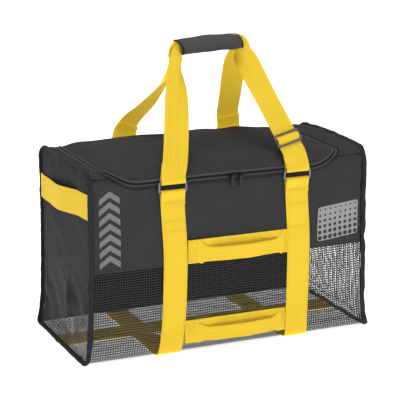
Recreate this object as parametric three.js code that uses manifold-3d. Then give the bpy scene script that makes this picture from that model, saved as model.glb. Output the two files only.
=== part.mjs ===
// A mesh dive gear bag: a soft box of charcoal cloth over coarse black net, with a zipped lid, webbing
// straps that run right round it, rectangular rings, two carry loops and a padded grip.
// Millimetres, +X to the right along the front, +Y to the back, +Z up. It stands on z = 0.

import * as THREE from "three";
import { mergeVertices } from "three/addons/utils/BufferGeometryUtils.js";
import Module from "manifold-3d";

// The body
const BODY_LENGTH = 600;
const BODY_DEPTH = 300;
const BODY_HEIGHT = 401;
const TOP_RADIUS = 30;
const BASE_RADIUS = 10;
const TOP_CROWN = 7;
const MIDDLE_RISE = 6;
const FRONT_BULGE = 4;
const END_BULGE = 6;
const FOOT_FLARE = 11;
const FLARE_HEIGHT = 75;
const LOWER_BULGE = 4;
const LOWER_BULGE_HEIGHT = 233;
const RIM_HOLLOW = 13;
const RIM_HOLLOW_REACH = 24;
const SHOULDER_HEIGHT = 330;

// Cloth, net and the bound end seams
const CLOTH = 1.6;
const NET = 1.5;
const GAP = 0.4;
const END_CLEARANCE = 0.7;
const BINDING_WIDTH = 11;
const BINDING_THICKNESS = 5;
const BINDING_STEP = 6;
const NET_LINE = 188;
const END_NET_FALL = 26;
const NET_STRAND = 7;
const FRONT_SEAM_HEIGHT = 378;

// The lid and its zip
const LID_LEFT_MARGIN = 34;
const LID_RIGHT_MARGIN = 58;
const LID_FRONT_HEIGHT = 363;
const LID_CORNER_ALONG = 70;
const LID_CORNER_UP = 55;
const LID_BACK_HEIGHT = 356;
const ZIP_WIDTH = 13;
const ZIP_DEPTH = 1.4;
const ZIP_SETBACK = 0.3;
const LEAST_STEP = 2;

// Webbing
const WEBBING_WIDTH = 51;
const WEBBING = 2;
const STRAP_LEFT = -132.5;
const STRAP_RIGHT = 139.5;
const STRAP_SWAY = 8;
const STRAP_LEFT_SHIFT = 20;
const STRAP_RIGHT_SHIFT = -8;
const STRAP_FLAP = 26;
const STRAP_SEAM = 10;
const STRAP_LANDING = 12;
const BAND_STEP_START = 22;
const BAND_STEP_END = 4;
const BASE_BAND_WIDTH = 62;
const BASE_BAND_AT = 17;

// Rings and the adjuster
const RING_WINDOW_WIDTH = 52.4;
const RING_WINDOW_HEIGHT = 16;
const RING_BAR = 4.2;
const RING_THICKNESS = 3.2;
const WINDOW_RADIUS = 1;
const FRONT_RING_HEIGHT = 350;
const BACK_RING_HEIGHT = 373;
const ADJUSTER_RISE = 45;
const ADJUSTER_HEIGHT = 28;
const ADJUSTER_BAR = 3;

// Grab handles
const UPPER_GRAB_HEIGHT = 214;
const LOWER_GRAB_HEIGHT = 47;
const GRAB_WIDTH = 48;
const GRAB_FOLDED_WIDTH = 32;
const GRAB_BOW = 9;
const END_HANDLE_FRONT_HEIGHT = 322;
const END_HANDLE_BACK_HEIGHT = 304;
const END_HANDLE_MARGIN = 1.5;

// Carry loops and their grip
const GRIP_HEIGHT = 600;
const GRIP_LEFT = -52;
const GRIP_RIGHT = 79;
const GRIP_DEPTH = 48;
const GRIP_THICKNESS = 33;
const GRIP_WALL = 4;
const GRIP_ARCH = 4;
const GATHERED_WIDTH = 20;
const LOOP_SPACING = 10;
const TAIL_LENGTH = 42;

// Zip sliders and pulls
const SLIDER_POSITIONS = [-4, 15];
const SLIDER_LENGTH = 13;
const SLIDER_HEIGHT = 8;
const SLIDER_THICKNESS = 2.6;
const BRIDGE_BAR = 2;
const PULL_WIDTH = 6.4;
const PULL_LENGTH = 21;
const PULL_THICKNESS = 1.6;
const PIVOT_LIFT = 6.2;
const EYE_HOLE = 1.9;
const EYE_WALL = 1;

const CHARCOAL = { color: 0x3b3b3d, roughness: 0.8, metalness: 0 };
const NET_BLACK = { color: 0x2c2c2e, roughness: 0.7, metalness: 0 };
const BLACK = { color: 0x171718, roughness: 0.65, metalness: 0 };
const YELLOW = { color: 0xf4d52c, roughness: 0.75, metalness: 0 };
const DARK_METAL = { color: 0x4a4a4e, roughness: 0.35, metalness: 0.8 };

// The webbing that crosses under the base carries the weight, so the base's own cloth is this far up.
const WEBBING_LAY = GAP + WEBBING / 2;
const BASE_HEIGHT = 2 * (GAP + WEBBING);
const HALF_LENGTH = BODY_LENGTH / 2;
const HALF_DEPTH = BODY_DEPTH / 2;
const LID_LEFT = HALF_LENGTH - LID_LEFT_MARGIN;
const LID_RIGHT = HALF_LENGTH - LID_RIGHT_MARGIN;
const FLAT_TOP = BODY_HEIGHT - TOP_CROWN - MIDDLE_RISE;
const WALL_RISE = FLAT_TOP - TOP_RADIUS - BASE_RADIUS - BASE_HEIGHT;
const TOP_ARC = (Math.PI / 2) * TOP_RADIUS;
const BASE_ARC = (Math.PI / 2) * BASE_RADIUS;
const TOP_RUN = BODY_DEPTH - 2 * TOP_RADIUS;
const BASE_RUN = BODY_DEPTH - 2 * BASE_RADIUS;
const WALL_END = HALF_LENGTH - BINDING_WIDTH / 2 - GAP;

const bag = new THREE.Group();
const wasm = await Module();
wasm.setup();

function smooth(share) {
  const inside = Math.min(1, Math.max(0, share));
  return inside * inside * (3 - 2 * inside);
}

function mix(from, to, share) {
  return from + (to - from) * share;
}

/** Evenly spaced stops from one value to another, both ends included. */
function stops(from, to, steps) {
  return Array.from({ length: steps + 1 }, (_, index) => mix(from, to, index / steps));
}

// The straight box is settled into the slack form of the real bag: the feet of the ends spread, the walls
// fill out, the top is crowned and sinks where the zip runs beside each end rim.
function settle(x, y, z) {
  const along = x / HALF_LENGTH;
  const across = y / HALF_DEPTH;
  const height = Math.min(1, Math.max(0, z / FLAT_TOP));
  const belly = Math.sin(Math.PI * height);
  const foot = Math.max(0, 1 - z / FLARE_HEIGHT);
  const spread = FOOT_FLARE * foot * foot + LOWER_BULGE * (1 - smooth(z / LOWER_BULGE_HEIGHT));
  const overTop = smooth((z - SHOULDER_HEIGHT) / (FLAT_TOP - SHOULDER_HEIGHT));
  const lidSide = x < 0 ? LID_LEFT : LID_RIGHT;
  const besideRim = (Math.abs(x) - lidSide) / RIM_HOLLOW_REACH;
  const crown = TOP_CROWN * Math.max(0, 1 - across * across) + MIDDLE_RISE * Math.max(0, 1 - along * along);
  const hollow = RIM_HOLLOW * Math.exp(-besideRim * besideRim) * Math.max(0, 1 - across ** 4);
  return new THREE.Vector3(
    x + along * (spread + END_BULGE * belly * Math.max(0, 1 - across * across)),
    y + across * FRONT_BULGE * belly * Math.max(0, 1 - along * along),
    z + overTop * (crown - hollow),
  );
}

// The girth is the body's outline across its length. It starts at the foot of the front wall and runs up
// the front, over the top, down the back and forward under the base.
const girthRuns = [
  { length: WALL_RISE, radius: 0 },
  { length: TOP_ARC, radius: TOP_RADIUS },
  { length: TOP_RUN, radius: 0 },
  { length: TOP_ARC, radius: TOP_RADIUS },
  { length: WALL_RISE, radius: 0 },
  { length: BASE_ARC, radius: BASE_RADIUS },
  { length: BASE_RUN, radius: 0 },
  { length: BASE_ARC, radius: BASE_RADIUS },
];
const GIRTH = girthRuns.reduce((sum, run) => sum + run.length, 0);

/** The y and z of a point on the girth, a given way round it and a given lift above the cloth's face. */
function girth(way, lift) {
  let left = ((way % GIRTH) + GIRTH) % GIRTH;
  let heading = Math.PI / 2;
  let y = -HALF_DEPTH;
  let z = BASE_HEIGHT + BASE_RADIUS;
  for (const { length, radius } of girthRuns) {
    const step = Math.min(left, length);
    if (radius === 0) {
      y += Math.cos(heading) * step;
      z += Math.sin(heading) * step;
    } else {
      const centreY = y + Math.sin(heading) * radius;
      const centreZ = z - Math.cos(heading) * radius;
      heading -= step / radius;
      y = centreY - Math.sin(heading) * radius;
      z = centreZ + Math.cos(heading) * radius;
    }
    left -= step;
    if (left <= 0) break;
  }
  return [y - Math.sin(heading) * lift, z + Math.cos(heading) * lift];
}

const frontWay = (height) => height - BASE_HEIGHT - BASE_RADIUS;
const backWay = (height) => WALL_RISE + 2 * TOP_ARC + TOP_RUN + (FLAT_TOP - TOP_RADIUS - height);
const TOP_START = WALL_RISE + TOP_ARC;
const TOP_END = TOP_START + TOP_RUN;
const BACK_FOOT = backWay(BASE_HEIGHT + BASE_RADIUS);

function skin(x, way, lift) {
  const [y, z] = girth(way, lift);
  return settle(x, y, z);
}

function addMesh(name, geometry, finish, parent = bag) {
  const mesh = new THREE.Mesh(geometry, new THREE.MeshStandardMaterial(finish));
  mesh.name = name;
  parent.add(mesh);
  return mesh;
}

function signedVolume(points, corners) {
  let sum = 0;
  for (let index = 0; index < corners.length; index += 3) {
    const [a, b, c] = corners.slice(index, index + 3).map((corner) => points[corner]);
    sum += a.dot(b.clone().cross(c));
  }
  return sum / 6;
}

function closedGeometry(points, corners) {
  if (signedVolume(points, corners) < 0) {
    for (let index = 0; index < corners.length; index += 3) {
      [corners[index + 1], corners[index + 2]] = [corners[index + 2], corners[index + 1]];
    }
  }
  const geometry = new THREE.BufferGeometry();
  geometry.setFromPoints(points);
  geometry.setIndex(corners);
  geometry.computeVertexNormals();
  return geometry;
}

/**
 * A closed wall made of a grid of cells. place(row, column, side) gives a corner on the outer side (1) or
 * the inner side (0), keep(row, column) says which cells are solid, and ring joins the last row to the first.
 */
function wall(rows, columns, place, keep = () => true, ring = false) {
  const rowCount = ring ? rows : rows + 1;
  const points = [];
  const corners = [];
  const numbers = new Map();
  const corner = (row, column, side) => {
    const key = ((row % rowCount) * (columns + 1) + column) * 2 + side;
    if (!numbers.has(key)) {
      numbers.set(key, points.length);
      points.push(place(row % rowCount, column, side));
    }
    return numbers.get(key);
  };
  const quad = (a, b, c, d) => corners.push(a, b, c, a, c, d);
  const solid = (row, column) => {
    if (column < 0 || column >= columns) return false;
    if (!ring && (row < 0 || row >= rows)) return false;
    return keep((row + rows) % rows, column);
  };
  for (let r = 0; r < rows; r += 1) {
    for (let c = 0; c < columns; c += 1) {
      if (!solid(r, c)) continue;
      const outer = [corner(r, c, 1), corner(r, c + 1, 1), corner(r + 1, c + 1, 1), corner(r + 1, c, 1)];
      const inner = [corner(r, c, 0), corner(r, c + 1, 0), corner(r + 1, c + 1, 0), corner(r + 1, c, 0)];
      quad(...outer);
      quad(inner[3], inner[2], inner[1], inner[0]);
      const beside = [solid(r - 1, c), solid(r, c + 1), solid(r + 1, c), solid(r, c - 1)];
      beside.forEach((joined, edge) => {
        const next = (edge + 1) % 4;
        if (!joined) quad(outer[next], outer[edge], inner[edge], inner[next]);
      });
    }
  }
  return closedGeometry(points, corners);
}

/** A strip of webbing or tape through a list of stations, each with its middle, width and thickness. */
function ribbon(stations) {
  return wall(stations.length - 1, 1, (row, column, side) => {
    const { at, across, out, width, thickness } = stations[row];
    return at
      .clone()
      .addScaledVector(across, (column - 0.5) * width)
      .addScaledVector(out, (side - 0.5) * thickness);
  });
}

/** Grid lines of a net: strands of one width with even gaps between them. */
function netStops(from, to, gaps) {
  const gap = (to - from - (gaps + 1) * NET_STRAND) / gaps;
  const lines = [];
  for (let index = 0; index <= gaps; index += 1) {
    const start = from + index * (NET_STRAND + gap);
    lines.push(start, start + NET_STRAND);
  }
  return lines;
}

const odd = (number) => number % 2 === 1;

// The lid's edge: a U with rounded front corners, drawn on the skin as x and the way round the girth.
const LID_FRONT_WAY = frontWay(FLAT_TOP - TOP_RADIUS) + (LID_FRONT_HEIGHT - FLAT_TOP + TOP_RADIUS);
const LID_BACK_WAY = backWay(LID_BACK_HEIGHT);
const CORNER_STEPS = 5;

/** The way round the girth at a step of the lid's rounded corner, for an edge a given distance outside it. */
function cornerWay(step, outside) {
  const angle = ((Math.PI / 2) * step) / CORNER_STEPS;
  return LID_FRONT_WAY + LID_CORNER_UP - (LID_CORNER_UP + outside) * Math.sin(angle);
}

/** How far the lid's edge lies to the left (-1) or right (1) at a way round the girth. */
function lidReach(way, side, outside) {
  const reach = side < 0 ? LID_LEFT : LID_RIGHT;
  const rise = LID_CORNER_UP + outside;
  const below = Math.min(1, Math.max(0, (LID_FRONT_WAY + LID_CORNER_UP - way) / rise));
  const round = (LID_CORNER_ALONG + outside) * Math.sqrt(Math.max(0, 1 - below * below));
  return side * (reach - LID_CORNER_ALONG + round);
}

/** Ways round the girth from the end of the lid's corner, over the top and down to the seam at the back. */
const OVER_TOP = [
  ...stops(cornerWay(0, 0), TOP_END, 6),
  ...stops(TOP_END, TOP_END + TOP_ARC, 4).slice(1),
  LID_BACK_WAY,
];

function lidRows(outside) {
  const corner = stops(CORNER_STEPS, 0, CORNER_STEPS).map((step) => cornerWay(step, outside));
  return [...corner, ...OVER_TOP.slice(1)];
}

function buildLid() {
  const rows = lidRows(0);
  const columns = 12;
  const geometry = wall(rows.length - 1, columns, (row, column, side) => {
    const left = lidReach(rows[row], -1, 0);
    const right = lidReach(rows[row], 1, 0);
    return skin(mix(left, right, column / columns), rows[row], (side - 1) * CLOTH);
  });
  addMesh("lid", geometry, CHARCOAL);
}

/** Stations round the U from the back left, for an edge a given distance outside the lid. */
function zipRun(outside) {
  const steps = stops(0, CORNER_STEPS, CORNER_STEPS);
  const half = [
    ...OVER_TOP.slice(1).reverse().map((way) => [1, way]),
    ...steps.map((step) => [Math.cos(((Math.PI / 2) * step) / CORNER_STEPS), cornerWay(step, outside)]),
  ];
  const place = (side) => ([round, way]) => {
    const reach = side < 0 ? LID_LEFT : LID_RIGHT;
    return [side * (reach - LID_CORNER_ALONG + (LID_CORNER_ALONG + outside) * round), way];
  };
  const left = half.map(place(-1));
  const right = half.map(place(1)).reverse();
  const between = stops(left.at(-1)[0], right[0][0], 8).slice(1, -1);
  return [...left, ...between.map((x) => [x, cornerWay(CORNER_STEPS, outside)]), ...right];
}

function buildZip() {
  const inner = zipRun(GAP);
  const outer = zipRun(ZIP_WIDTH - GAP);
  const geometry = wall(inner.length - 1, 1, (row, column, side) => {
    const [x, way] = column === 0 ? inner[row] : outer[row];
    return skin(x, way, -ZIP_SETBACK - (1 - side) * ZIP_DEPTH);
  });
  addMesh("zip", geometry, BLACK);
}

// The front wall's cloth reaches up beside the lid's corners as two ears, to the seam with the top.
function buildFrontCloth() {
  const seam = frontWay(FLAT_TOP - TOP_RADIUS) + (FRONT_SEAM_HEIGHT - FLAT_TOP + TOP_RADIUS);
  const low = stops(frontWay(NET_LINE) + GAP, cornerWay(CORNER_STEPS, ZIP_WIDTH), 4);
  const earSteps = [];
  for (let step = CORNER_STEPS - 1; step >= 0; step -= 1) {
    if (cornerWay(step, ZIP_WIDTH) < seam - LEAST_STEP) earSteps.push(cornerWay(step, ZIP_WIDTH));
  }
  const rows = [...low, ...earSteps, seam - GAP];
  const ear = 3;
  const middle = 8;
  const geometry = wall(
    rows.length - 1,
    2 * ear + middle,
    (row, column, side) => {
      const way = rows[row];
      const left = lidReach(way, -1, ZIP_WIDTH);
      const right = lidReach(way, 1, ZIP_WIDTH);
      let x = mix(left, right, (column - ear) / middle);
      if (column <= ear) x = mix(-WALL_END, left, column / ear);
      if (column >= ear + middle) x = mix(right, WALL_END, (column - ear - middle) / ear);
      return skin(x, way, (side - 1) * CLOTH);
    },
    (row, column) => row < low.length - 1 || column < ear || column >= ear + middle,
  );
  addMesh("front_cloth", geometry, CHARCOAL);
  return seam;
}

function buildTopSides(seam) {
  for (const [name, side] of [["top_left_cloth", -1], ["top_right_cloth", 1]]) {
    const cornerWays = stops(CORNER_STEPS, 0, CORNER_STEPS).map((step) => cornerWay(step, ZIP_WIDTH));
    const early = cornerWays.filter((way) => way > seam + LEAST_STEP);
    const rows = [seam, ...early, ...OVER_TOP.slice(1)];
    const geometry = wall(rows.length - 1, 2, (row, column, face) => {
      const inner = lidReach(rows[row], side, ZIP_WIDTH);
      return skin(mix(inner, side * WALL_END, column / 2), rows[row], (face - 1) * CLOTH);
    });
    addMesh(name, geometry, CHARCOAL);
  }
}

function buildBackCloth() {
  const foot = stops(BACK_FOOT, BACK_FOOT + BASE_ARC - GAP, 2).slice(1);
  const rows = [...stops(LID_BACK_WAY + GAP, BACK_FOOT, 8), ...foot];
  const columns = 12;
  const geometry = wall(rows.length - 1, columns, (row, column, side) =>
    skin(mix(-WALL_END, WALL_END, column / columns), rows[row], (side - 1) * CLOTH),
  );
  addMesh("back_cloth", geometry, CHARCOAL);
}

function buildFrontNet() {
  const foot = stops(-BASE_ARC + GAP, 0, 2).slice(0, -1);
  const rows = [...foot, ...netStops(0, frontWay(NET_LINE), 3)];
  const columns = netStops(-WALL_END, WALL_END, 11);
  const geometry = wall(
    rows.length - 1,
    columns.length - 1,
    (row, column, side) => skin(columns[column], rows[row], (side - 1) * NET),
    (row, column) => row < foot.length || !(odd(row - foot.length) && odd(column)),
  );
  addMesh("front_net", geometry, NET_BLACK);
}

function buildBaseNet() {
  const start = BACK_FOOT + BASE_ARC + GAP;
  const rows = netStops(start, start + BASE_RUN - 2 * GAP, 5);
  const columns = netStops(-WALL_END, WALL_END, 11);
  const geometry = wall(
    rows.length - 1,
    columns.length - 1,
    (row, column, side) => skin(columns[column], rows[row], (side - 1) * NET),
    (row, column) => !(odd(row) && odd(column)),
  );
  addMesh("base_net", geometry, NET_BLACK);
}

// Each end is one flat panel inside the loop of its bound seam, cloth above and net below.
const END_INSET = BINDING_THICKNESS / 2 + END_CLEARANCE;
const SHOULDER = FLAT_TOP - TOP_RADIUS;
const FOOT = BASE_HEIGHT + BASE_RADIUS;

/** Half the end panel's depth at a height, inside the rounded corners. */
function endHalfDepth(z) {
  const bend = (radius, past) => radius - Math.sqrt(Math.max(0, (radius - END_INSET) ** 2 - past ** 2));
  if (z > SHOULDER) return HALF_DEPTH - bend(TOP_RADIUS, z - SHOULDER);
  if (z < FOOT) return HALF_DEPTH - bend(BASE_RADIUS, FOOT - z);
  return HALF_DEPTH - END_INSET;
}

/** The height of the seam between net and cloth on an end: level with the front's, and falling to the back. */
function endNetLine(y) {
  return NET_LINE - END_NET_FALL * smooth((y + HALF_DEPTH) / BODY_DEPTH);
}

function buildEndCloth(side, word) {
  const flatRows = 4;
  const roundRows = 4;
  const columns = 8;
  const levelAt = (row) => {
    const turn = ((Math.PI / 2) * Math.max(0, row - flatRows)) / roundRows;
    return SHOULDER + (TOP_RADIUS - END_INSET) * Math.sin(turn);
  };
  const geometry = wall(flatRows + roundRows, columns, (row, column, face) => {
    const level = levelAt(row);
    const y = mix(-1, 1, column / columns) * endHalfDepth(level);
    const z = mix(endNetLine(y) + GAP, level, Math.min(1, row / flatRows));
    return settle(side * (HALF_LENGTH + (face - 0.5) * CLOTH), y, z);
  });
  addMesh(`${word}_end_cloth`, geometry, CHARCOAL);
}

function buildEndNet(side, word) {
  const span = HALF_DEPTH - END_INSET;
  const rows = [BASE_HEIGHT + END_INSET, ...netStops(FOOT, NET_LINE, 3)];
  const columns = netStops(-span, span, 5);
  const geometry = wall(
    rows.length - 1,
    columns.length - 1,
    (row, column, face) => {
      const y = (columns[column] / span) * endHalfDepth(rows[row]);
      const share = Math.max(0, (rows[row] - FOOT) / (NET_LINE - FOOT));
      const z = rows[row] - share * (NET_LINE - endNetLine(y));
      return settle(side * (HALF_LENGTH + (face - 0.5) * NET), y, z);
    },
    (row, column) => row === 0 || !(odd(row - 1) && odd(column)),
  );
  addMesh(`${word}_end_net`, geometry, NET_BLACK);
}

function buildBinding(side, word) {
  const ways = [];
  let way = 0;
  for (const { length, radius } of girthRuns) {
    const steps = radius > 0 ? Math.ceil(length / BINDING_STEP) : 5;
    ways.push(...stops(way, way + length, steps).slice(0, -1));
    way += length;
  }
  const band = wall(
    ways.length,
    1,
    (row, column, face) => {
      const x = side * (HALF_LENGTH + (column - 0.5) * BINDING_WIDTH);
      return skin(x, ways[row], (face - 0.5) * BINDING_THICKNESS);
    },
    () => true,
    true,
  );
  addMesh(`${word}_end_binding`, band, BLACK);
}

buildLid();
buildZip();
buildTopSides(buildFrontCloth());
buildBackCloth();
buildFrontNet();
buildBaseNet();
for (const [side, word] of [[-1, "left"], [1, "right"]]) {
  buildEndCloth(side, word);
  buildEndNet(side, word);
  buildBinding(side, word);
}

// A strap that runs round the body. Both ends fold over the lower bar of a ring and are sewn down.
const BAR_CENTRES = RING_WINDOW_HEIGHT + RING_BAR;
const FOLD_RADIUS = RING_BAR / 2 + 2 * GAP + WEBBING / 2;
const FOLD_START = (-40 * Math.PI) / 180;
const RING_LIFT = WEBBING_LAY + FOLD_RADIUS;

/** A strap's middle. It sways to the right on the front, and drifts inwards as it climbs the back. */
function strapMiddle(centre, y, z) {
  const frontShare = smooth(0.5 - y / BODY_DEPTH);
  const sway = STRAP_SWAY * frontShare * Math.sin(Math.PI * Math.min(1, Math.max(0, z / FRONT_RING_HEIGHT)));
  const shift = centre < 0 ? STRAP_LEFT_SHIFT : STRAP_RIGHT_SHIFT;
  return centre + sway + shift * smooth(y / HALF_DEPTH) * smooth(z / SHOULDER_HEIGHT);
}

/** The folded end of a strap, from its sewn flap over the bar to the wall, for the front (-1) or back (1). */
function foldedEnd(face, barHeight) {
  const wallAt = face * HALF_DEPTH;
  const flap = face * (HALF_DEPTH + WEBBING_LAY + WEBBING + GAP);
  const route = [
    [flap, barHeight - STRAP_FLAP],
    [flap, barHeight - STRAP_FLAP + STRAP_SEAM],
  ];
  for (const turn of stops(FOLD_START, Math.PI, 6)) {
    const lift = RING_LIFT + FOLD_RADIUS * Math.cos(turn);
    route.push([wallAt + face * lift, barHeight + FOLD_RADIUS * Math.sin(turn)]);
  }
  return route;
}

/** The strap's route across the base, from the back to the front, stepping down over the lengthwise band. */
function underBase() {
  const route = [];
  for (const face of [1, -1]) {
    const edge = BASE_BAND_AT + (face * BASE_BAND_WIDTH) / 2;
    const level = BASE_HEIGHT - WEBBING_LAY;
    const deep = level - GAP - WEBBING;
    const pair = [
      [edge + face * BAND_STEP_START, level],
      [edge + face * BAND_STEP_END, deep],
    ];
    route.push(...(face > 0 ? pair : pair.reverse()));
  }
  return route;
}

function strapRoute() {
  const frontBar = FRONT_RING_HEIGHT - BAR_CENTRES / 2;
  const backBar = BACK_RING_HEIGHT - BAR_CENTRES / 2;
  const backLine = stops(backBar - STRAP_LANDING, FOOT, 7).map((z) => [HALF_DEPTH + WEBBING_LAY, z]);
  const frontLine = stops(FOOT, frontBar - STRAP_LANDING, 7).map((z) => [-HALF_DEPTH - WEBBING_LAY, z]);
  const backCorner = stops(BACK_FOOT, BACK_FOOT + BASE_ARC, 3).slice(1);
  const frontCorner = stops(GIRTH - BASE_ARC, GIRTH, 3).slice(0, -1);
  return [
    ...foldedEnd(1, backBar),
    ...backLine,
    ...backCorner.map((way) => girth(way, WEBBING_LAY)),
    ...underBase(),
    ...frontCorner.map((way) => girth(way, WEBBING_LAY)),
    ...frontLine,
    ...foldedEnd(-1, frontBar).reverse(),
  ];
}

function buildStrap(word, centre) {
  const route = strapRoute();
  const acrossStrap = new THREE.Vector3(1, 0, 0);
  const flat = route.map(([y, z]) => new THREE.Vector3(0, y, z));
  const stations = route.map(([y, z], index) => {
    const before = flat[Math.max(0, index - 1)];
    const after = flat[Math.min(flat.length - 1, index + 1)];
    const along = after.clone().sub(before).normalize();
    return {
      at: settle(strapMiddle(centre, y, z), y, z),
      across: acrossStrap,
      out: along.cross(acrossStrap).normalize(),
      width: WEBBING_WIDTH,
      thickness: WEBBING,
    };
  });
  addMesh(`${word}_body_strap`, ribbon(stations), YELLOW);
}

buildStrap("left", STRAP_LEFT);
buildStrap("right", STRAP_RIGHT);

// The lengthwise band lies between the base net and the two straps, and stops at the bound end seams.
function buildBaseBand() {
  const columns = stops(-WALL_END, WALL_END, 10);
  const geometry = wall(columns.length - 1, 1, (row, column, side) => {
    const y = BASE_BAND_AT + (column - 0.5) * BASE_BAND_WIDTH;
    const z = BASE_HEIGHT - GAP - side * WEBBING;
    return settle(columns[row], y, z);
  });
  addMesh("base_band", geometry, YELLOW);
}

buildBaseBand();

function roundedRectangle(path, width, height, radius) {
  const x = width / 2;
  const y = height / 2;
  path.moveTo(-x + radius, -y);
  path.lineTo(x - radius, -y);
  path.absarc(x - radius, -y + radius, radius, -Math.PI / 2, 0);
  path.lineTo(x, y - radius);
  path.absarc(x - radius, y - radius, radius, 0, Math.PI / 2);
  path.lineTo(-x + radius, y);
  path.absarc(-x + radius, y - radius, radius, Math.PI / 2, Math.PI);
  path.lineTo(-x, -y + radius);
  path.absarc(-x + radius, -y + radius, radius, Math.PI, Math.PI * 1.5);
  return path;
}

/** A flat frame cut from plate, with its windows, in the plane of X and Z. */
function plateFrame(width, height, thickness, windows) {
  const outline = roundedRectangle(new THREE.Shape(), width, height, RING_BAR);
  for (const { at, tall } of windows) {
    const hole = new THREE.Path();
    const inner = roundedRectangle(new THREE.Path(), RING_WINDOW_WIDTH, tall, WINDOW_RADIUS);
    hole.setFromPoints(inner.getPoints(2).map((point) => point.add(new THREE.Vector2(0, at))));
    outline.holes.push(hole);
  }
  const geometry = new THREE.ExtrudeGeometry(outline, { depth: thickness, bevelEnabled: false, curveSegments: 3 });
  geometry.translate(0, 0, -thickness / 2);
  geometry.rotateX(Math.PI / 2);
  return geometry;
}

const RING_WIDTH = RING_WINDOW_WIDTH + 2 * RING_BAR;

/** The middle of a ring, which stands upright on its lower bar in the fold of the body strap. */
function ringCentre(centre, face) {
  const barHeight = (face < 0 ? FRONT_RING_HEIGHT : BACK_RING_HEIGHT) - BAR_CENTRES / 2;
  const y = face * (HALF_DEPTH + RING_LIFT);
  const bar = settle(strapMiddle(centre, y, barHeight), y, barHeight);
  return bar.setZ(bar.z + BAR_CENTRES / 2);
}

for (const [side, centre] of [["left", STRAP_LEFT], ["right", STRAP_RIGHT]]) {
  for (const [place, face] of [["front", -1], ["back", 1]]) {
    const frame = plateFrame(RING_WIDTH, RING_WINDOW_HEIGHT + 2 * RING_BAR, RING_THICKNESS, [
      { at: 0, tall: RING_WINDOW_HEIGHT },
    ]);
    const ring = addMesh(`${place}_${side}_ring`, frame, DARK_METAL);
    ring.position.copy(ringCentre(centre, face));
  }
}

// A grab handle on the front: a band sewn flat between the straps, and over it a second one whose middle
// is folded narrower and stands away from it for the fingers.
const GRAB_ROWS = [
  { share: 0, folded: 0, bowed: 0 },
  { share: 0.1, folded: 0, bowed: 0 },
  { share: 0.18, folded: 0.8, bowed: 0.12 },
  { share: 0.26, folded: 1, bowed: 0.55 },
  { share: 0.38, folded: 1, bowed: 0.92 },
  { share: 0.55, folded: 1, bowed: 1 },
  { share: 0.72, folded: 1, bowed: 0.92 },
  { share: 0.84, folded: 1, bowed: 0.55 },
  { share: 0.9, folded: 0.8, bowed: 0.12 },
  { share: 0.95, folded: 0, bowed: 0 },
  { share: 1, folded: 0, bowed: 0 },
];

function buildGrab(word, height) {
  const edge = WEBBING_WIDTH / 2 + END_CLEARANCE;
  const between = (share, z) => {
    const from = strapMiddle(STRAP_LEFT, -HALF_DEPTH, z) + edge;
    const to = strapMiddle(STRAP_RIGHT, -HALF_DEPTH, z) - edge;
    return mix(from, to, share);
  };
  const band = wall(6, 1, (row, column, side) => {
    const z = height + (column - 0.5) * GRAB_WIDTH;
    return skin(between(row / 6, z), frontWay(z), GAP + side * WEBBING);
  });
  addMesh(`${word}_grab_band`, band, YELLOW);
  const handle = wall(GRAB_ROWS.length - 1, 1, (row, column, side) => {
    const { share, folded, bowed } = GRAB_ROWS[row];
    const width = mix(GRAB_WIDTH, GRAB_FOLDED_WIDTH, folded);
    const z = height - GRAB_WIDTH / 2 + column * width;
    const lift = 2 * GAP + WEBBING + GRAB_BOW * bowed + side * WEBBING;
    return skin(between(share, z), frontWay(z), lift);
  });
  addMesh(`${word}_grab_handle`, handle, YELLOW);
}

buildGrab("upper", UPPER_GRAB_HEIGHT);
buildGrab("lower", LOWER_GRAB_HEIGHT);

// An end handle: a strip of webbing across the end, sewn down at both sides and standing away between.
const END_HANDLE_ROWS = [
  { share: 0, bowed: 0 },
  { share: 0.1, bowed: 0 },
  { share: 0.2, bowed: 0 },
  { share: 0.3, bowed: 0.35 },
  { share: 0.4, bowed: 0.85 },
  { share: 0.5, bowed: 1 },
  { share: 0.6, bowed: 0.85 },
  { share: 0.7, bowed: 0.35 },
  { share: 0.8, bowed: 0 },
  { share: 0.9, bowed: 0 },
  { share: 1, bowed: 0 },
];

function buildEndHandle(side, word) {
  const reach = HALF_DEPTH - END_INSET - END_HANDLE_MARGIN;
  const handle = wall(END_HANDLE_ROWS.length - 1, 2, (row, column, face) => {
    const { share, bowed } = END_HANDLE_ROWS[row];
    const y = mix(-reach, reach, share);
    const middle = mix(END_HANDLE_FRONT_HEIGHT, END_HANDLE_BACK_HEIGHT, smooth(share));
    const z = middle + (column / 2 - 0.5) * WEBBING_WIDTH;
    const lift = CLOTH / 2 + END_CLEARANCE + GRAB_BOW * bowed + face * WEBBING;
    return settle(side * (HALF_LENGTH + lift), y, z);
  });
  addMesh(`${word}_end_handle`, handle, YELLOW);
}

buildEndHandle(-1, "left");
buildEndHandle(1, "right");

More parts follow.
